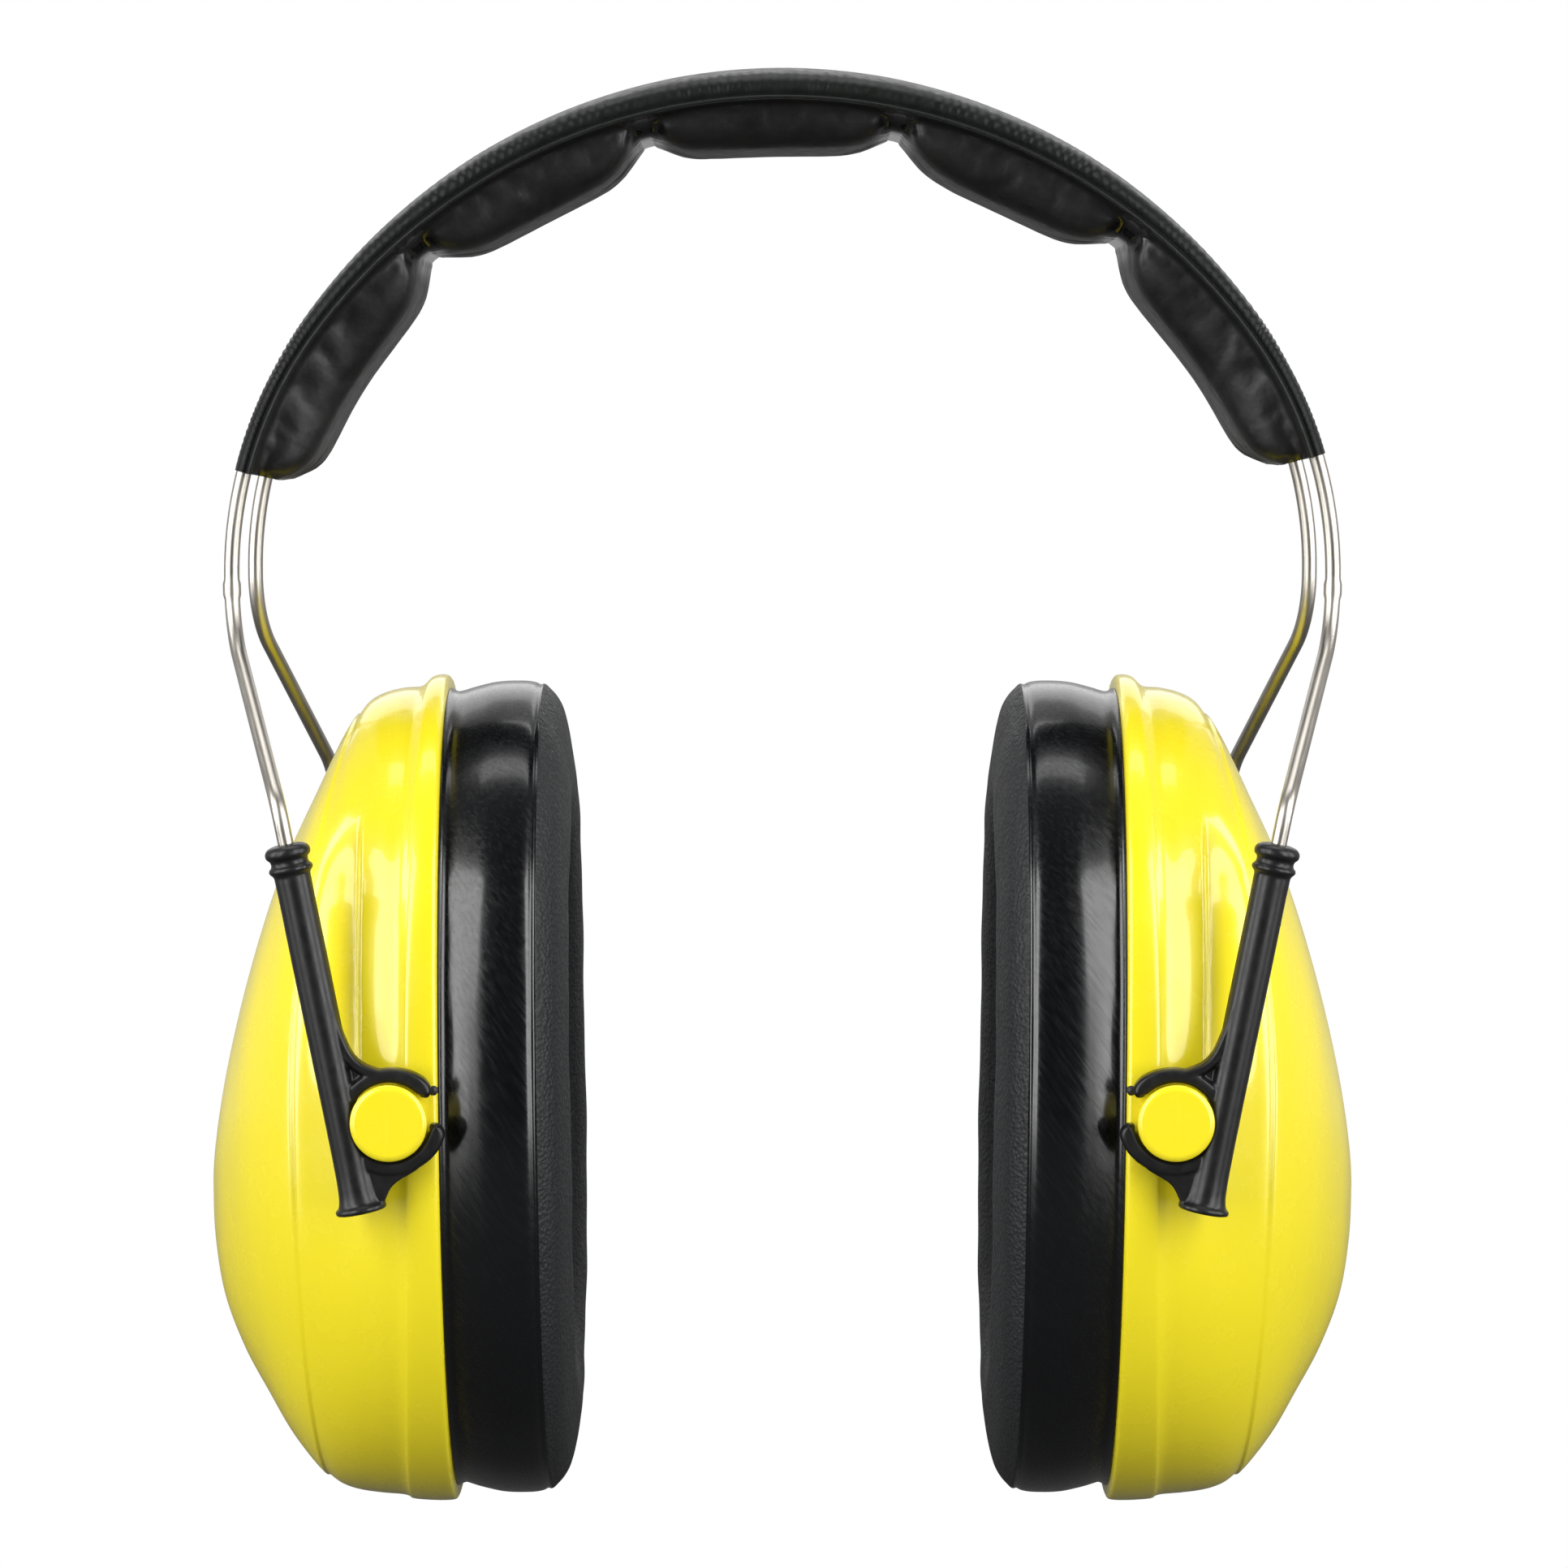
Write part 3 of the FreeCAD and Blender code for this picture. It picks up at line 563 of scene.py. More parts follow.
PARTING_RIDGE = 0.035  # height of the faint mould line across the stud's face
PARTING_REACH = 0.22
STUD_FACE_RINGS = 26
STUD_PROFILE = [  # (radius, distance from the middle plane)
    (0.01, 30.0), (4.6, 30.0), (4.55, 33.5), (4.20, 34.5), (4.15, 41.9), (4.30, 42.25),
    (4.55, 42.4), (4.58, 42.75), (4.45, 43.0), (4.10, 43.12), (2.20, 43.16), (0.01, 43.17),
]


def pivot_stud(side_name, face_name):
    """The round stud that the sleeve's clip snaps on."""
    face = FACES[face_name]
    foot = (PIVOT_OUT, 0, PIVOT_UP)
    rim = STUD_PROFILE[:-2]
    rings = np.linspace(rim[-1][0], 0.02, STUD_FACE_RINGS)[1:]
    button = [(radius, STUD_PROFILE[-1][1]) for radius in rings]
    points, faces = lathe_patch(rim + button, foot, (0, face, 0), 96)
    on_face = np.abs(points[:, 1]) > STUD_PROFILE[-3][1]
    ridge = PARTING_RIDGE * bump(points[:, 0], PIVOT_OUT, PARTING_REACH)
    points[:, 1] += face * ridge * on_face
    name = f"{side_name}_{face_name}_pivot_stud"
    stud = make_piece(name, [(points, faces)], SIDES[side_name], sharp=55)
    dress(stud, "cup_plastic", YELLOW)
    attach(stud, f"{side_name}_cup")


CUSHION_HALF_HEIGHT = 50.9
CUSHION_HALF_WIDTH = 37.9
EAR_HALF_HEIGHT = 32.0
EAR_HALF_WIDTH = 20.0
CUSHION_CENTRE = -37.9
CUSHION_INSET = 18.4  # from the outer edge to the ear hole
CUSHION_PROFILE = [  # (distance out, inset from the outer edge), round the section
    (40.95, 0.80), (40.55, 1.05), (40.05, 1.22), (39.40, 1.12), (38.30, 0.80),
    (37.00, 0.47), (35.60, 0.17), (34.20, 0.03), (32.60, 0.00), (31.20, 0.06),
    (30.30, 0.24), (29.90, 0.44), (29.70, 0.50), (29.40, 0.40), (29.10, 0.52),
    (28.80, 0.80), (27.90, 1.75), (27.10, 3.10), (26.50, 5.20), (26.00, 8.00),
    (25.70, 10.6), (25.95, 13.3), (26.90, 15.7), (28.80, 17.3), (31.80, 18.2),
    (36.00, 18.4), (40.10, 18.2), (40.95, 16.8), (40.98, 9.00),
]
BEAD_OUT = 29.3  # where the glossy side skin is welded to the stippled face skin
CUSHION_SQUARENESS = 2.12
CUSHION_STEPS = 320
CUSHION_SWAY = [(0.07, 5, 0.6), (0.05, 11, 0.0), (0.03, 23, 2.0)]  # height, waves, phase
NECK_OUT = 40.4  # where the skin is held at the rim and no longer sways
NECK_FADE = 1.5


def cushion(side_name):
    """The sealing ring: a glossy side skin with a neck at the rim, a weld bead,
    and a stippled face round the ear hole."""
    profile = spline(CUSHION_PROFILE, 150, closed=True)
    share = profile[:, 1] / CUSHION_INSET
    half_height = CUSHION_HALF_HEIGHT + (EAR_HALF_HEIGHT - CUSHION_HALF_HEIGHT) * share
    half_width = CUSHION_HALF_WIDTH + (EAR_HALF_WIDTH - CUSHION_HALF_WIDTH) * share
    out = profile[:, 0]
    top = CUSHION_CENTRE + half_height
    foot = CUSHION_CENTRE - half_height
    stations = np.stack([out, top, out, half_width, out, foot], axis=-1)
    rows = oval_rows(stations, CUSHION_SQUARENESS, CUSHION_STEPS)
    turn = np.linspace(0, 2 * math.pi, rows.shape[1], endpoint=False)
    sway = sum(height * np.sin(waves * turn + phase) for height, waves, phase in CUSHION_SWAY)
    loose = ease((NECK_OUT - out) / NECK_FADE) * (1 - ease((share - 0.75) / 0.2))
    rows += grid_normals(rows) * (sway[None, :] * loose[:, None])[..., None]
    closed = leaned(np.concatenate([rows, rows[:1]]))
    patch = grid_patch(closed)
    ring = make_piece(f"{side_name}_cushion", [patch], SIDES[side_name], merge=True)
    dress(ring, "cushion_vinyl", CUSHION_SIDE, CUSHION_FACE)
    for polygon in ring.data.polygons:
        on_face = (abs(polygon.center.x) / MM) < BEAD_OUT + lean_shift(polygon.center.z)
        polygon.material_index = 1 if on_face else 0
    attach(ring, f"{side_name}_cup")
    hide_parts(f"{side_name}_cushion_cover", f"{side_name}_cushion_foam")


def lean_shift(z):
    """How far out the lean moves a point at this height, in millimetres."""
    return (z / MM - PIVOT_UP) * math.sin(CUP_LEAN)


ABSORBER_PROFILE = [  # (distance out, inset), from the middle of one face to the other
    (45.0, 27.6), (44.9, 18.0), (45.1, 8.00), (45.5, 3.50), (46.6, 0.90), (48.5, 0.10),
    (52.0, 0.00), (54.4, 0.60), (55.4, 2.20), (55.7, 8.00), (55.7, 27.6),
]
ABSORBER_HALF_HEIGHT = 38.0
ABSORBER_HALF_WIDTH = 28.5
ABSORBER_CENTRE = -41.0
ABSORBER_SQUARENESS = 2.1
ABSORBER_STEPS = 160
ABSORBER_WAVE = 0.25  # height of the slow waves in the face towards the ear
ABSORBER_LEAST = 0.3  # half width of the innermost ring of each face


def acoustic_foam(side_name):
    """A soft slab of open-cell foam in the cup, with puffed edges."""
    profile = spline(ABSORBER_PROFILE, 90)
    out, inset = profile.T
    half_width = np.maximum(ABSORBER_HALF_WIDTH - inset, ABSORBER_LEAST)
    stretch = (half_width - ABSORBER_LEAST) / (ABSORBER_HALF_WIDTH - ABSORBER_LEAST)
    half_height = ABSORBER_LEAST + (ABSORBER_HALF_HEIGHT - ABSORBER_LEAST) * stretch
    top = ABSORBER_CENTRE + half_height
    foot = ABSORBER_CENTRE - half_height
    stations = np.stack([out, top, out, half_width, out, foot], axis=-1)
    rows = oval_rows(stations, ABSORBER_SQUARENESS, ABSORBER_STEPS)
    waves = np.sin(rows[..., 1] * 0.31 + 1) * np.sin(rows[..., 2] * 0.23)
    rows[..., 0] += ABSORBER_WAVE * waves * (1 - ease((out[:, None] - 46) / 3))
    tips = [leaned(rows[end].mean(axis=0)) for end in (0, -1)]
    patch = grid_patch(leaned(rows), start=tips[0], end=tips[1])
    slab = make_piece(f"{side_name}_cup_foam", [patch], SIDES[side_name])
    dress(slab, "acoustic_foam", FOAM)
    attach(slab, f"{side_name}_cup")
    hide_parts(f"{side_name}_acoustic_foam")


CATCH_OUT = 41.6
CATCH_UP = -33.9
CATCH_PROFILE = [  # (radius, distance from the middle plane)
    (0.01, 36.8), (0.62, 36.8), (0.62, 38.35), (0.50, 38.55), (0.28, 38.66), (0.01, 38.70),
]


def cushion_catch(side_name, face_name):
    """A small black peg of the cushion plate that shows in a notch of the rim."""
    foot = (CATCH_OUT, 0, CATCH_UP)
    patch = lathe_patch(CATCH_PROFILE, foot, (0, FACES[face_name], 0), 40)
    name = f"{side_name}_{face_name}_cushion_catch"
    peg = make_piece(name, [patch], SIDES[side_name], sharp=60)
    dress(peg, "plate_plastic", PLATE)
    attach(peg, f"{side_name}_cup")


for side_name in SIDES:
    cup_shell(side_name)
    cushion(side_name)
    acoustic_foam(side_name)
    for face_name in FACES:
        cushion_catch(side_name, face_name)
    for face_name in FACES:
        pivot_stud(side_name, face_name)

# ---------- sleeves

SLEEVE_TOP_OUT = 58.65
SLEEVE_TOP_UP = -4.7
SLEEVE_SPACING = 40.5
SLEEVE_DOWN = np.array(joints["right_front_slide"]["axis"], float)
SLEEVE_ACROSS = np.array([SLEEVE_DOWN[2], 0, -SLEEVE_DOWN[0]])  # towards the head
SLEEVE_PROFILE = [  # (radius, distance down): domed collar, two rings, tube, trumpet foot
    (0.30, -0.42), (1.50, -0.36), (2.30, -0.10), (2.66, 0.30), (2.74, 0.70), (2.62, 1.10),
    (2.30, 1.36), (2.24, 1.90), (2.34, 2.18), (2.60, 2.36), (2.66, 2.66), (2.52, 2.94),
    (2.24, 3.20), (2.18, 4.20), (2.17, 14.0), (2.17, 38.0), (2.24, 40.8), (2.40, 42.6),
    (2.66, 43.4), (3.00, 43.66), (3.06, 43.96), (2.94, 44.24), (1.75, 44.26), (1.55, 44.05),
    (1.50, 34.0), (0.30, 33.8),
]
CLIP_HALF_DEPTH = 1.55
CLIP_JAWS = [  # (degrees about the pivot from straight inboard, inner, outer radius)
    (35.0, 4.62, 5.45), (40.0, 4.66, 6.25), (49.0, 4.68, 6.60), (62.0, 4.68, 6.60),
    (80.0, 4.68, 6.44), (110.0, 4.68, 6.36), (180.0, 4.68, 6.36), (250.0, 4.68, 6.40),
    (300.0, 4.68, 6.50), (335.0, 4.68, 6.75), (346.0, 4.68, 6.70), (351.5, 4.68, 6.10),
    (356.0, 4.68, 5.05),
]
# Outer edges of the two webs, as (outboard, up) from the pivot.
UPPER_WEB_EDGE = [
    (6.75, 15.0), (6.05, 12.5), (5.25, 10.1), (4.30, 8.15), (3.25, 7.10), (2.10, 6.55),
    (0.90, 6.20), (-0.40, 5.95),
]
LOWER_WEB_EDGE = [
    (0.82, -9.85), (0.50, -9.30), (0.12, -8.40), (-0.45, -7.52), (-1.30, -6.85),
    (-2.35, -6.25), (-3.40, -5.60),
]
# Inner ends of the webs: heights on the tube's axis, then degrees round the clip.
UPPER_WEB_SPINE = ((15.0, 3.0), (158.0, 128.0, 97.0))
LOWER_WEB_SPINE = ((-10.2, -3.0), (205.0, 236.0, 285.0))
SPINE_RADIUS = 5.4
UPPER_WEB_HALF = 0.62
LOWER_WEB_HALF = 1.25
RIB_HALF_WIDTH = 0.62
VOXEL = 0.17
RELAX_ROUNDS = 3


def sleeve_point(along, across, y):
    """A point of the right sleeve: down its axis and towards the head from it."""
    top = np.array([SLEEVE_TOP_OUT, 0, SLEEVE_TOP_UP])
    return top + SLEEVE_DOWN * along + SLEEVE_ACROSS * across + (0, y, 0)


def from_pivot(points, y):
    """Points given as (outboard, up) from the pivot of the right cup."""
    points = np.array(points, float)
    out, up = points[:, 0], points[:, 1]
    return np.stack([PIVOT_OUT + out, 0 * out + y, PIVOT_UP + up], axis=-1)


def clip_ring(y):
    """The open C of the clip: a squarish bar bent round the stud, thickest at its
    upper jaw and pointed at its lower one."""
    angle, inner, outer = spline(CLIP_JAWS, 150).T
    turn = np.radians(angle)
    middle = (inner + outer) / 2
    points = np.stack([-middle * np.cos(turn), middle * np.sin(turn)], axis=-1)
    from_tip = np.minimum(angle - angle[0], angle[-1] - angle) * math.radians(1) * middle
    depth = CLIP_HALF_DEPTH * np.sqrt(np.clip(0.35 + from_tip / 0.6, 0, 1))
    return bar_patch(from_pivot(points, y), (outer - inner) / 2, depth)


def evenly(points, count):
    """Points at even distances along a line of straight runs."""
    points = np.array(points, float)
    steps = np.linalg.norm(np.diff(points, axis=0), axis=1)
    at = np.concatenate([[0.0], np.cumsum(steps)])
    where = np.linspace(0, at[-1], count)
    return np.stack([np.interp(where, at, column) for column in points.T], axis=-1)


def web_spine(spine, y, count):
    """The inner line of a web: down the tube's axis and then round inside the clip."""
    heights, angles = spine
    line = []
    for height in heights:
        along = (PIVOT_UP + height - SLEEVE_TOP_UP) / SLEEVE_DOWN[2]
        line.append(sleeve_point(along, 0, y))
    for turn in np.radians(angles):
        offset = (-SPINE_RADIUS * math.cos(turn), SPINE_RADIUS * math.sin(turn))
        line.append(from_pivot([offset], y)[0])
    return evenly(line, count)


def web(edge, spine, half_depth):
    """A flat web between its concave edge and its inner line."""
    sheets = []
    for dy in (-half_depth, half_depth):
        steps = np.linspace(0, 1, 6)[:, None, None]
        sheets.append(edge + (spine - edge) * steps + (0, dy, 0))
    return slab_patch(*sheets)


def edge_of(knots, y):
    """The outer edge of a web, as evenly spaced points."""
    return from_pivot(evenly(spline(knots, 60), 40), y)


def sleeve_patches(face):
    """The tube, the clip, the two webs and the rib along the upper web's edge."""
    y = face * SLEEVE_SPACING
    foot = sleeve_point(0, 0, y)
    profile = spline(SLEEVE_PROFILE, 220)
    profile[:, 0] = np.maximum(profile[:, 0], 0.02)
    patches = [lathe_patch(profile, foot, SLEEVE_DOWN, 48), clip_ring(y)]
    for knots, line, half_depth in (
        (UPPER_WEB_EDGE, UPPER_WEB_SPINE, UPPER_WEB_HALF),
        (LOWER_WEB_EDGE, LOWER_WEB_SPINE, LOWER_WEB_HALF),
    ):
        edge = edge_of(knots, y)
        patches.append(web(edge, web_spine(line, y, len(edge)), half_depth))
    ahead = np.gradient(edge_of(UPPER_WEB_EDGE, y), axis=0)
    inwards = np.stack([ahead[:, 2], 0 * ahead[:, 1], -ahead[:, 0]], axis=-1)
    inwards /= np.linalg.norm(inwards, axis=1)[:, None]
    rib = edge_of(UPPER_WEB_EDGE, y) - inwards * RIB_HALF_WIDTH
    patches.append(bar_patch(rib, RIB_HALF_WIDTH, CLIP_HALF_DEPTH))
    return patches


def slider_sleeve(side_name, face_name):
    """Tube, clip and webs melted together, with moulded fillets where they meet."""
    name = f"{side_name}_{face_name}_slider"
    block = make_piece(name, sleeve_patches(FACES[face_name]), SIDES[side_name])
    melt = block.modifiers.new("melt", "REMESH")
    melt.mode = "VOXEL"
    melt.voxel_size = VOXEL * MM
    melt.use_smooth_shade = True
    relax = block.modifiers.new("relax", "SMOOTH")
    relax.factor = 0.5
    relax.iterations = RELAX_ROUNDS
    sleeve = bake_modifiers(block)
    dress(sleeve, "sleeve_plastic", SLEEVE)
    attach(sleeve, f"{side_name}_{face_name}_sleeve")
    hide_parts(f"{side_name}_{face_name}_sleeve")


for side_name in SIDES:
    for face_name in FACES:
        slider_sleeve(side_name, face_name)

# ---------- band and arch

ARCH_CENTRE_UP = 14.0
WIRE_ARCH = 71.6
WELD_RADIUS = 70.6
SHOULDER_RADIUS = 50.0
ARCH_HALF_SPAN = 67.3
SHOULDER_INSET = WIRE_ARCH - SHOULDER_RADIUS
SHOULDER_OUT = ARCH_HALF_SPAN - SHOULDER_RADIUS
SHOULDER_ANGLE = math.degrees(math.asin(SHOULDER_OUT / SHOULDER_INSET))
SHOULDER_UP = ARCH_CENTRE_UP + SHOULDER_INSET * math.cos(math.radians(SHOULDER_ANGLE))
COVER_SLIP = -1.2  # degrees by which the padding sits towards the left on the wires


def arch_points(radius, angle, y):
    """Points of the arch, as part of three tangent arcs, for arrays of values."""
    radius, angle, y = np.broadcast_arrays(radius, angle, y)
    turn = np.radians(angle)
    crown = np.abs(angle) <= SHOULDER_ANGLE
    reach = np.where(crown, radius, radius - SHOULDER_INSET)
    x = np.where(crown, 0.0, np.sign(angle) * SHOULDER_OUT) + reach * np.sin(turn)
    z = np.where(crown, ARCH_CENTRE_UP, SHOULDER_UP) + reach * np.cos(turn)
    return np.stack([x, y, z], axis=-1)


def bend_with(piece):
    """Bakes the placement of one half of the band into its mesh."""
    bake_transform(piece)


WIRE_RADIUS = 0.95
WIRE_SPOKES = 24
WIRE_SPACING = 15.8
WIRE_KINK_UP = 20.5
WIRE_KINK_RADIUS = 12.0
WIRE_END_RADIUS = 5.0
WIRE_TIP = 40.26  # how far down the sleeve the wire ends
WIRE_PITCH = 0.6  # between the points of its leg
CRIMP_UP = 25.0
CRIMP_HALF = 1.1
CRIMP_SWELL = 0.16
GRAIN_ALONG = 0.16  # noise cells per millimetre along the wire
GRAIN_ROUND = 2.2  # and across it


def draw_grain(wire, route):
    """Stores, for the steel, a place that changes slowly along the wire."""
    steps = np.linalg.norm(np.diff(route, axis=0, prepend=route[:1]), axis=1)
    along = np.repeat(np.cumsum(steps) * GRAIN_ALONG, WIRE_SPOKES)
    turn = np.tile(np.linspace(0, 2 * math.pi, WIRE_SPOKES, endpoint=False), len(route))
    place = np.stack([along, GRAIN_ROUND * np.cos(turn), GRAIN_ROUND * np.sin(turn)], axis=-1)
    place = np.vstack([place, np.zeros((2, 3))])
    grain = wire.data.attributes.new("grain", "FLOAT_VECTOR", "POINT")
    grain.data.foreach_set("vector", place.astype(np.float32).ravel())


def spring_wire(side_name, face_name):
    """One half of a wire, from the crown to its end inside the sleeve."""
    face = FACES[face_name]
    y = face * WIRE_SPACING
    crown = list(arch_points(WIRE_ARCH, np.linspace(0, 90, 150), y))
    corners = [
        crown[-1],
        (ARCH_HALF_SPAN, y, WIRE_KINK_UP),
        sleeve_point(-WIRE_END_RADIUS, 0, face * SLEEVE_SPACING),
        sleeve_point(WIRE_TIP, 0, face * SLEEVE_SPACING),
    ]
    leg = rounded_route(corners, (WIRE_KINK_RADIUS, WIRE_END_RADIUS), WIRE_PITCH)
    route = np.array(crown + leg[1:])
    radii = np.full(len(route), WIRE_RADIUS)
    if face_name == "front":
        on_leg = route[:, 0] > ARCH_HALF_SPAN - 3
        near = (np.abs(route[:, 2] - CRIMP_UP) < CRIMP_HALF) & on_leg
        radii[near] += CRIMP_SWELL
    wire = make_piece(
        f"{face_name}_spring_wire_{side_name}",
        [tube_patch(route, radii, WIRE_SPOKES)],
        SIDES[side_name],
        sharp=60,
    )
    draw_grain(wire, route)
    dress(wire, "spring_steel", STEEL)
    bend_with(wire)
    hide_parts(f"{face_name}_spring_wire")


COVER_END = 74.4
COVER_SKIN = 0.9
COVER_SECTION = [  # (half width, radius) of the outer skin, from its edge to the middle
    (18.90, 70.66), (18.80, 70.95), (18.35, 71.10), (18.10, 71.28), (18.22, 71.70),
    (18.12, 72.40), (17.70, 73.10), (16.80, 73.70), (15.20, 74.15), (12.00, 74.60),
    (7.00, 75.10), (0.00, 75.30),
]
COVER_COLUMNS = 420
COVER_BASE = 71.3  # what rises above this radius is lower towards the band's ends
COVER_CROWNING = [  # (degrees from the crown, share of that rise)
    (0, 0.97), (10, 0.96), (18, 0.92), (30, 0.85), (44, 0.72), (60, 0.56), (76, 0.52),
]
RIB_PITCH = 1.15  # of the small cross wrinkles, in millimetres
RIB_DEPTH = 0.07
RIB_FROM = 6.0  # half width at which the wrinkles begin, and over which they grow
BEAD_PITCH = 0.95  # of the pressed dots beside the weld
BEAD_DEPTH = 0.045
BEAD_RADIUS = 71.75


def rib_pattern(distance):
    """Uneven cross wrinkles along the band, from -1 to 1."""
    phase = 2 * math.pi * distance / RIB_PITCH
    drift = 1.3 * np.sin(distance * 0.37) + 0.9 * np.sin(distance * 0.83 + 1)
    swell = 0.55 + 0.45 * np.sin(distance * 0.29 + 0.7) * np.sin(distance * 0.113)
    return swell * np.sin(phase + drift)


def headband_cover(side_name):
    """One half of the crowned outer skin, welded to the lining along its edges."""
    side = SIDES[side_name]
    half = spline(COVER_SECTION, 44)
    section = np.vstack([half * (-1, 1), half[::-1][1:]])
    end = COVER_END + side * COVER_SLIP
    angles = np.linspace(0, end, COVER_COLUMNS)[:, None]
    y, radius = section.T[:, None, :]
    crowning = np.interp(angles, *np.array(COVER_CROWNING).T)
    radius = radius - np.maximum(radius - COVER_BASE, 0) * (1 - crowning)
    distance = np.radians(angles) * WIRE_ARCH * side
    on_roll = ease((np.abs(y) - RIB_FROM) / RIB_FROM) * ease((section[:, 1] - COVER_BASE) / 0.8)
    ribs = rib_pattern(distance + 0.4 * np.sign(y)) * on_roll
    beside_weld = bump(section[:, 1], BEAD_RADIUS, 0.35) * ease(np.abs(y) - 17)
    bead = np.sin(2 * math.pi * distance / BEAD_PITCH) * beside_weld
    lift = RIB_DEPTH * ribs + BEAD_DEPTH * bead
    top = arch_points(radius + lift, angles, y + 0.6 * np.sign(y) * lift)
    inner_y = np.sign(y) * np.maximum(np.abs(y) - COVER_SKIN, 0)
    inner_radius = np.maximum(radius - COVER_SKIN, WELD_RADIUS + 0.04)
    bottom = arch_points(np.broadcast_to(inner_radius, top.shape[:2]), angles, inner_y)
    cover = make_piece(f"headband_cover_{side_name}", [slab_patch(top, bottom)], side, 40)
    dress(cover, "headband_vinyl", COVER)
    bend_with(cover)
    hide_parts("headband_outer_cover")


PAD_DEPTH = 6.4
CENTRE_PAD_DEPTH = 5.3
CENTRE_PAD_SPAN = (8.0, 20.0)  # degrees from the crown over which the depth changes
VALLEYS = (-39.0, -13.0, 13.0, 39.0)
PAD_END = 75.5  # degrees at which the end pads would close, a little past the cover
PAD_FULLNESS = [  # (distance from a valley along the band, how full the pad is there)
    (0.0, 0.00), (0.7, 0.01), (1.3, 0.08), (2.1, 0.22), (3.2, 0.44), (4.4, 0.66),
    (5.7, 0.80), (7.0, 0.88), (9.5, 0.95), (13.0, 0.99), (17.0, 1.00),
]
LINING_SECTION = [  # (half width, depth) over a pad, the same in a valley, laid flat
    (0.00, 0.98, 0.00, 0.43, 0.00),
    (5.00, 0.99, 4.60, 0.43, 4.20),
    (10.0, 0.98, 9.00, 0.42, 8.30),
    (13.0, 0.94, 11.8, 0.38, 11.0),
    (14.8, 0.79, 13.0, 0.31, 12.8),
    (15.5, 0.52, 13.8, 0.21, 14.2),
    (15.6, 0.25, 14.9, 0.12, 15.3),
    (16.1, 0.09, 16.0, 0.06, 16.2),
    (17.0, 0.03, 17.0, 0.03, 17.0),
    (18.0, 0.01, 18.0, 0.01, 18.0),
    (18.9, 0.00, 18.9, 0.00, 18.9),
]
FLANGE_FROM = 16.3  # half width past which the lining is welded to the cover
VALLEY_FULLNESS = 0.015  # a column less full than this is part of a weld
WELD_FADE = 2.2  # how quickly the pads' section takes over from the valleys'
PAD_COLUMNS = 56
SWELL_SCALE = 10.0  # the cloth is simulated ten times too big, which its solver likes
SWELL_FRAMES = 20
SWELL_PRESSURE = 4.0
SWELL_CAP = 0.8  # the furthest, in millimetres, that the foam may push the skin out
SWELL_CLOTH = {
    "quality": 6,
    "mass": 0.3,
    "tension_stiffness": 30,
    "compression_stiffness": 30,
    "shear_stiffness": 10,
    "bending_stiffness": 1.0,
    "vertex_group_mass": "held",
    "use_pressure": True,
    "uniform_pressure_force": SWELL_PRESSURE,
    "shrink_min": -0.02,
}


def pad_columns():
    """(angle, fullness) of each column along the band. Fullness is 0 in a valley."""
    edges = [-PAD_END, *VALLEYS, PAD_END]
    knots = np.array(PAD_FULLNESS)
    angles, fullness = [], []
    for begin, end in zip(edges, edges[1:]):
        share = np.linspace(-1, 1, PAD_COLUMNS + 1)[:-1]
        crowded = 0.55 * share + 0.45 * np.sin(share * math.pi / 2)
        here = (begin + end) / 2 + (end - begin) / 2 * crowded
        from_edge = np.radians(np.minimum(here - begin, end - here)) * WIRE_ARCH
        angles += list(here)
        fullness += list(np.interp(from_edge, *knots.T))
    angles, fullness = np.array(angles), np.array(fullness)
    kept = np.abs(angles) < COVER_END
    ends = np.interp(np.radians(PAD_END - COVER_END) * WIRE_ARCH, *knots.T)
    angles = np.concatenate([[-COVER_END], angles[kept], [COVER_END]]) + COVER_SLIP
    fullness = np.concatenate([[ends], fullness[kept], [ends]])
    angles[np.argmin(np.abs(angles))] = 0.0
    return angles, fullness


def lining_grid(angles, fullness):
    """The lining before it is blown up: columns along the band, points across it."""
    half = spline(LINING_SECTION, 34)
    section = np.vstack([half[::-1] * (-1, 1, -1, 1, -1), half[1:]])
    pad_y, pad_share, valley_y, valley_share, flat_y = section.T[:, None, :]
    full = fullness[:, None]
    y = valley_y + (pad_y - valley_y) * ease(full * WELD_FADE)
    share = valley_share + (pad_share - valley_share) * full
    depth = np.interp(np.abs(angles[:, None]), CENTRE_PAD_SPAN, (CENTRE_PAD_DEPTH, PAD_DEPTH))
    grid = arch_points(WELD_RADIUS - 0.08 - depth * share, angles[:, None], y)
    return grid, np.broadcast_to(flat_y, share.shape)


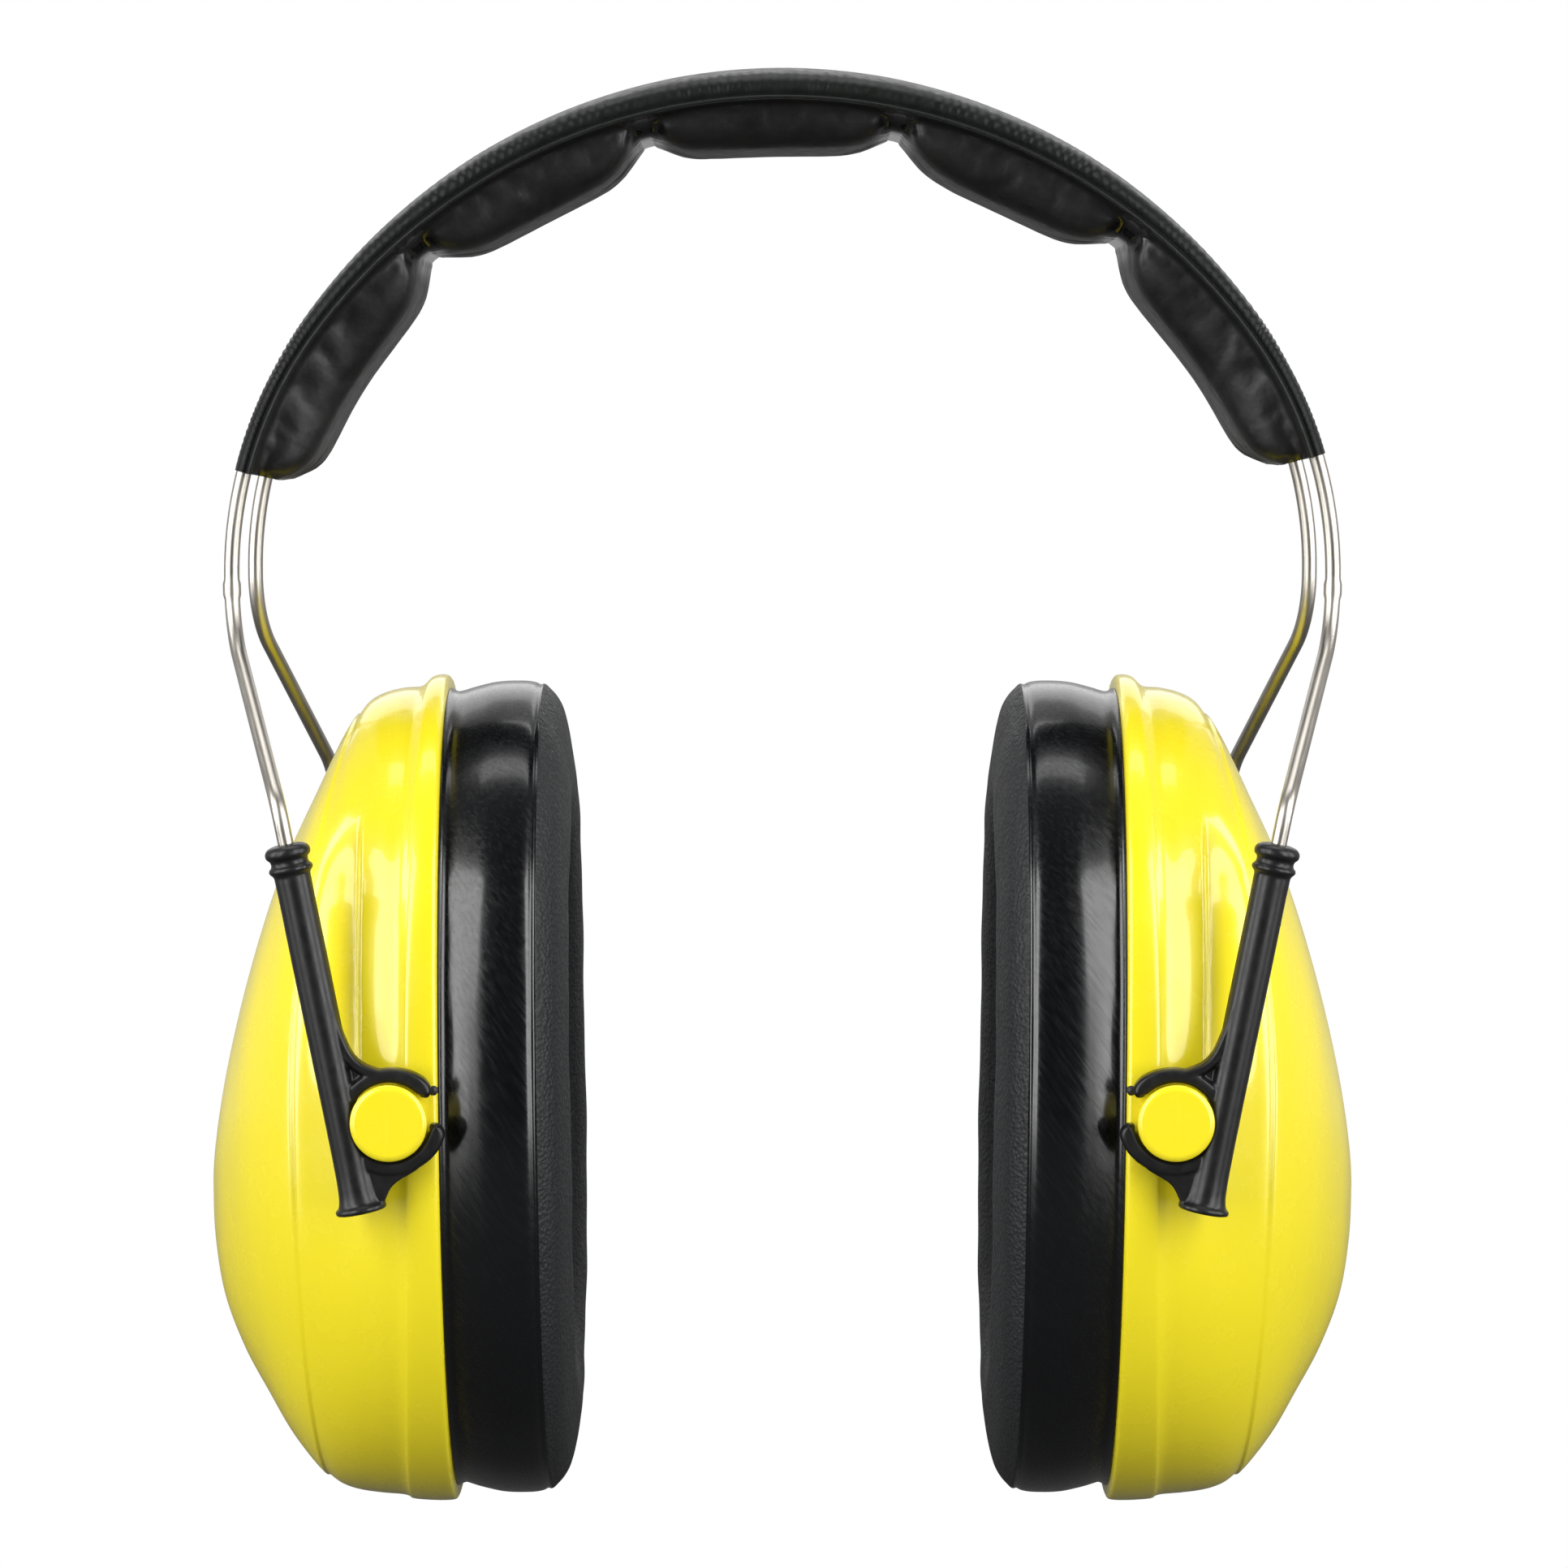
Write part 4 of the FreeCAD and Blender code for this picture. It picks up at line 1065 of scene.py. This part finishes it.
def swollen(grid, held):
    """The skin after the foam under it has pushed it out, by cloth simulation. Held
    points are the welds."""
    count, width = grid.shape[:2]
    index = np.arange(count * width).reshape(count, width)
    quads = np.stack([index[:-1, :-1], index[1:, :-1], index[1:, 1:], index[:-1, 1:]], axis=-1)
    mesh = bpy.data.meshes.new("swelling_skin")
    points = grid.reshape(-1, 3) * MM * SWELL_SCALE
    mesh.from_pydata(points.tolist(), [], quads.reshape(-1, 4).tolist())
    if mesh.polygons[(count // 2) * (width - 1) + width // 2].normal.z > 0:
        mesh.flip_normals()
    skin = bpy.data.objects.new("swelling_skin", mesh)
    scene.collection.objects.link(skin)
    group = skin.vertex_groups.new(name="held")
    group.add(np.flatnonzero(held.ravel()).tolist(), 1.0, "REPLACE")
    cloth = skin.modifiers.new("cloth", "CLOTH")
    for setting, value in SWELL_CLOTH.items():
        setattr(cloth.settings, setting, value)
    cloth.settings.effector_weights.gravity = 0
    cloth.point_cache.frame_start = 1
    cloth.point_cache.frame_end = SWELL_FRAMES
    for frame_number in range(1, SWELL_FRAMES + 1):
        scene.frame_set(frame_number)
    seen = skin.evaluated_get(bpy.context.evaluated_depsgraph_get())
    result = np.empty(count * width * 3)
    seen.data.vertices.foreach_get("co", result)
    bpy.data.objects.remove(skin)
    scene.frame_set(1)
    move = result.reshape(grid.shape) / MM / SWELL_SCALE - grid
    length = np.linalg.norm(move, axis=-1)[..., None]
    return grid + move * SWELL_CAP / (SWELL_CAP + length)


def headband_lining():
    """The inner skin, drawn down over five foam pads, in a left and a right half."""
    angles, fullness = pad_columns()
    grid, flat_y = lining_grid(angles, fullness)
    in_valley = np.broadcast_to((fullness < VALLEY_FULLNESS)[:, None], flat_y.shape)
    held = in_valley | (np.abs(flat_y) > FLANGE_FROM)
    held[[0, -1]] = True
    grid = swollen(grid, held)
    weld = np.broadcast_to(1 - ease(fullness * WELD_FADE)[:, None], flat_y.shape)
    middle = int(np.argmin(np.abs(angles)))
    for side_name, side in SIDES.items():
        part = np.s_[middle:] if side > 0 else np.s_[middle::-1]
        low = grid[part] * (side, 1, 1)
        high = arch_points(WELD_RADIUS, np.abs(angles[part])[:, None], flat_y[part])
        lining = make_piece(f"headband_lining_{side_name}", [slab_patch(high, low)], side, 50)
        shade = lining.data.attributes.new("weld", "FLOAT", "POINT")
        values = np.concatenate([np.zeros(weld[part].size), weld[part].ravel()])
        shade.data.foreach_set("value", values.astype(np.float32))
        dress(lining, "lining_vinyl", LINING)
        bend_with(lining)
        pads = ("foam_pad_centre", f"foam_pad_{side_name}", f"foam_pad_{side_name}_end")
        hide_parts("headband_lining", *pads)


for side_name in SIDES:
    headband_cover(side_name)
    for face_name in FACES:
        spring_wire(side_name, face_name)
headband_lining()

# ---------- carried-over CAD nodes' finish

for side_name in SIDES:
    for node, look in (
        (f"{side_name}_cushion_plate", PLATE),
        (f"{side_name}_front_wire_stop", STEEL),
        (f"{side_name}_rear_wire_stop", STEEL),
    ):
        part = frame["nodes"][node]
        part.data.materials.clear()
        part.data.materials.append(look)

# ---------- floor, light, camera

FLOOR_UP = -0.135
FLOOR_REACH = 1.6
FLOOR_SHADE = (0.06, 0.06, 0.06, 1)  # as the object sees it, so that black stays black
FLOOR_GLOW = 1.0  # as the camera sees it, like a white table lit from below
FLOOR_SIDES = 96
FLOOR_FADE = (0.30, 1.1)  # distances at which it begins to clear and is gone
WORLD_FRONT = 0.03
WORLD_BACK = 0.50


def pale_floor():
    """A round pale floor that fades into the background."""
    turn = np.linspace(0, 2 * math.pi, FLOOR_SIDES, endpoint=False)
    ring = np.stack([np.cos(turn), np.sin(turn), 0 * turn], axis=-1) * FLOOR_REACH
    points = np.vstack([[(0, 0, 0)], ring]) + (0, 0, FLOOR_UP)
    faces = [[0, i + 1, (i + 1) % FLOOR_SIDES + 1] for i in range(FLOOR_SIDES)]
    mesh = bpy.data.meshes.new("floor")
    mesh.from_pydata(points.tolist(), [], faces)
    floor = bpy.data.objects.new("floor", mesh)
    scene.collection.objects.link(floor)
    look = Look("pale_floor", Roughness=0.9)
    look.shader.inputs["Base Color"].default_value = FLOOR_SHADE
    distance = look.node("ShaderNodeVectorMath", {0: look.place}, operation="LENGTH")
    solid = look.spread(distance.outputs["Value"], 1.0, 0.0, *FLOOR_FADE)
    clear = look.node("ShaderNodeBsdfTransparent")
    glow = look.node("ShaderNodeEmission", Strength=FLOOR_GLOW)
    path = look.node("ShaderNodeLightPath")
    seen = look.node(
        "ShaderNodeMixShader",
        {0: path.outputs["Is Camera Ray"], 1: look.shader.outputs[0], 2: glow.outputs[0]},
    )
    mix = look.node(
        "ShaderNodeMixShader", {0: solid, 1: clear.outputs[0], 2: seen.outputs[0]}
    )
    output = look.tree.nodes["Material Output"]
    look.tree.links.new(mix.outputs[0], output.inputs["Surface"])
    mesh.materials.append(look.material)


def studio_world():
    """White to look at; as light, bright behind and above and dim in front."""
    world = bpy.data.worlds.new("studio")
    world.use_nodes = True
    scene.world = world
    world.node_tree.nodes.clear()
    look = Nodes(world.node_tree)
    where = look.node("ShaderNodeTexCoord").outputs["Generated"]
    apart = look.node("ShaderNodeSeparateXYZ", {0: where}).outputs["Y"]
    behind = look.spread(apart, WORLD_FRONT, WORLD_BACK, -0.6, 0.5)
    lamp = look.node("ShaderNodeBackground", {"Strength": behind}).outputs[0]
    plain = look.node("ShaderNodeBackground", Strength=1.0, Color=(1, 1, 1, 1)).outputs[0]
    seen = look.node("ShaderNodeLightPath").outputs["Is Camera Ray"]
    mix = look.node("ShaderNodeMixShader", {0: seen, 1: lamp, 2: plain})
    look.node("ShaderNodeOutputWorld", {"Surface": mix.outputs[0]})


def softbox(name, place, target, width, height, power):
    """A rectangular lamp that faces a point."""
    data = bpy.data.lights.new(name, "AREA")
    data.shape = "RECTANGLE"
    data.size = width
    data.size_y = height
    data.energy = power
    lamp = bpy.data.objects.new(name, data)
    scene.collection.objects.link(lamp)
    aim(lamp, place, target)


def aim(thing, place, target):
    """Puts a lamp or camera at a place and turns its -Z to a point, +Y upwards."""
    place = Vector(place)
    thing.location = place
    thing.rotation_euler = (Vector(target) - place).to_track_quat("-Z", "Y").to_euler()


CAMERA_DISTANCE = 0.72
CAMERA_ELEVATION = math.radians(3.7)
CAMERA_AIM = (0.0002, 0.0, 0.0002)
CAMERA_LENS = 131.95


def studio_camera():
    """A long lens at the height of the cups, looking slightly down."""
    data = bpy.data.cameras.new("camera")
    data.lens = CAMERA_LENS
    data.sensor_width = 36.0
    camera = bpy.data.objects.new("camera", data)
    scene.collection.objects.link(camera)
    back = CAMERA_DISTANCE * math.cos(CAMERA_ELEVATION)
    rise = CAMERA_DISTANCE * math.sin(CAMERA_ELEVATION)
    aim(camera, (CAMERA_AIM[0], -back, rise), CAMERA_AIM)
    scene.camera = camera


pale_floor()
studio_world()
for name, side in SIDES.items():
    softbox(f"{name}_softbox", (side * 0.90, -1.00, 0.35), (0, 0, -0.02), 0.60, 1.6, 18)
    softbox(f"{name}_side_strip", (side * 1.30, -0.25, 0.20), (0, 0, -0.02), 0.35, 1.4, 11)
softbox("top_softbox", (0, 0.25, 1.3), (0, 0, 0), 1.2, 0.9, 9)
softbox("rear_softbox", (0, 1.3, 0.7), (0, 0, 0), 1.6, 0.8, 5)
studio_camera()
scene.view_settings.view_transform = "Standard"
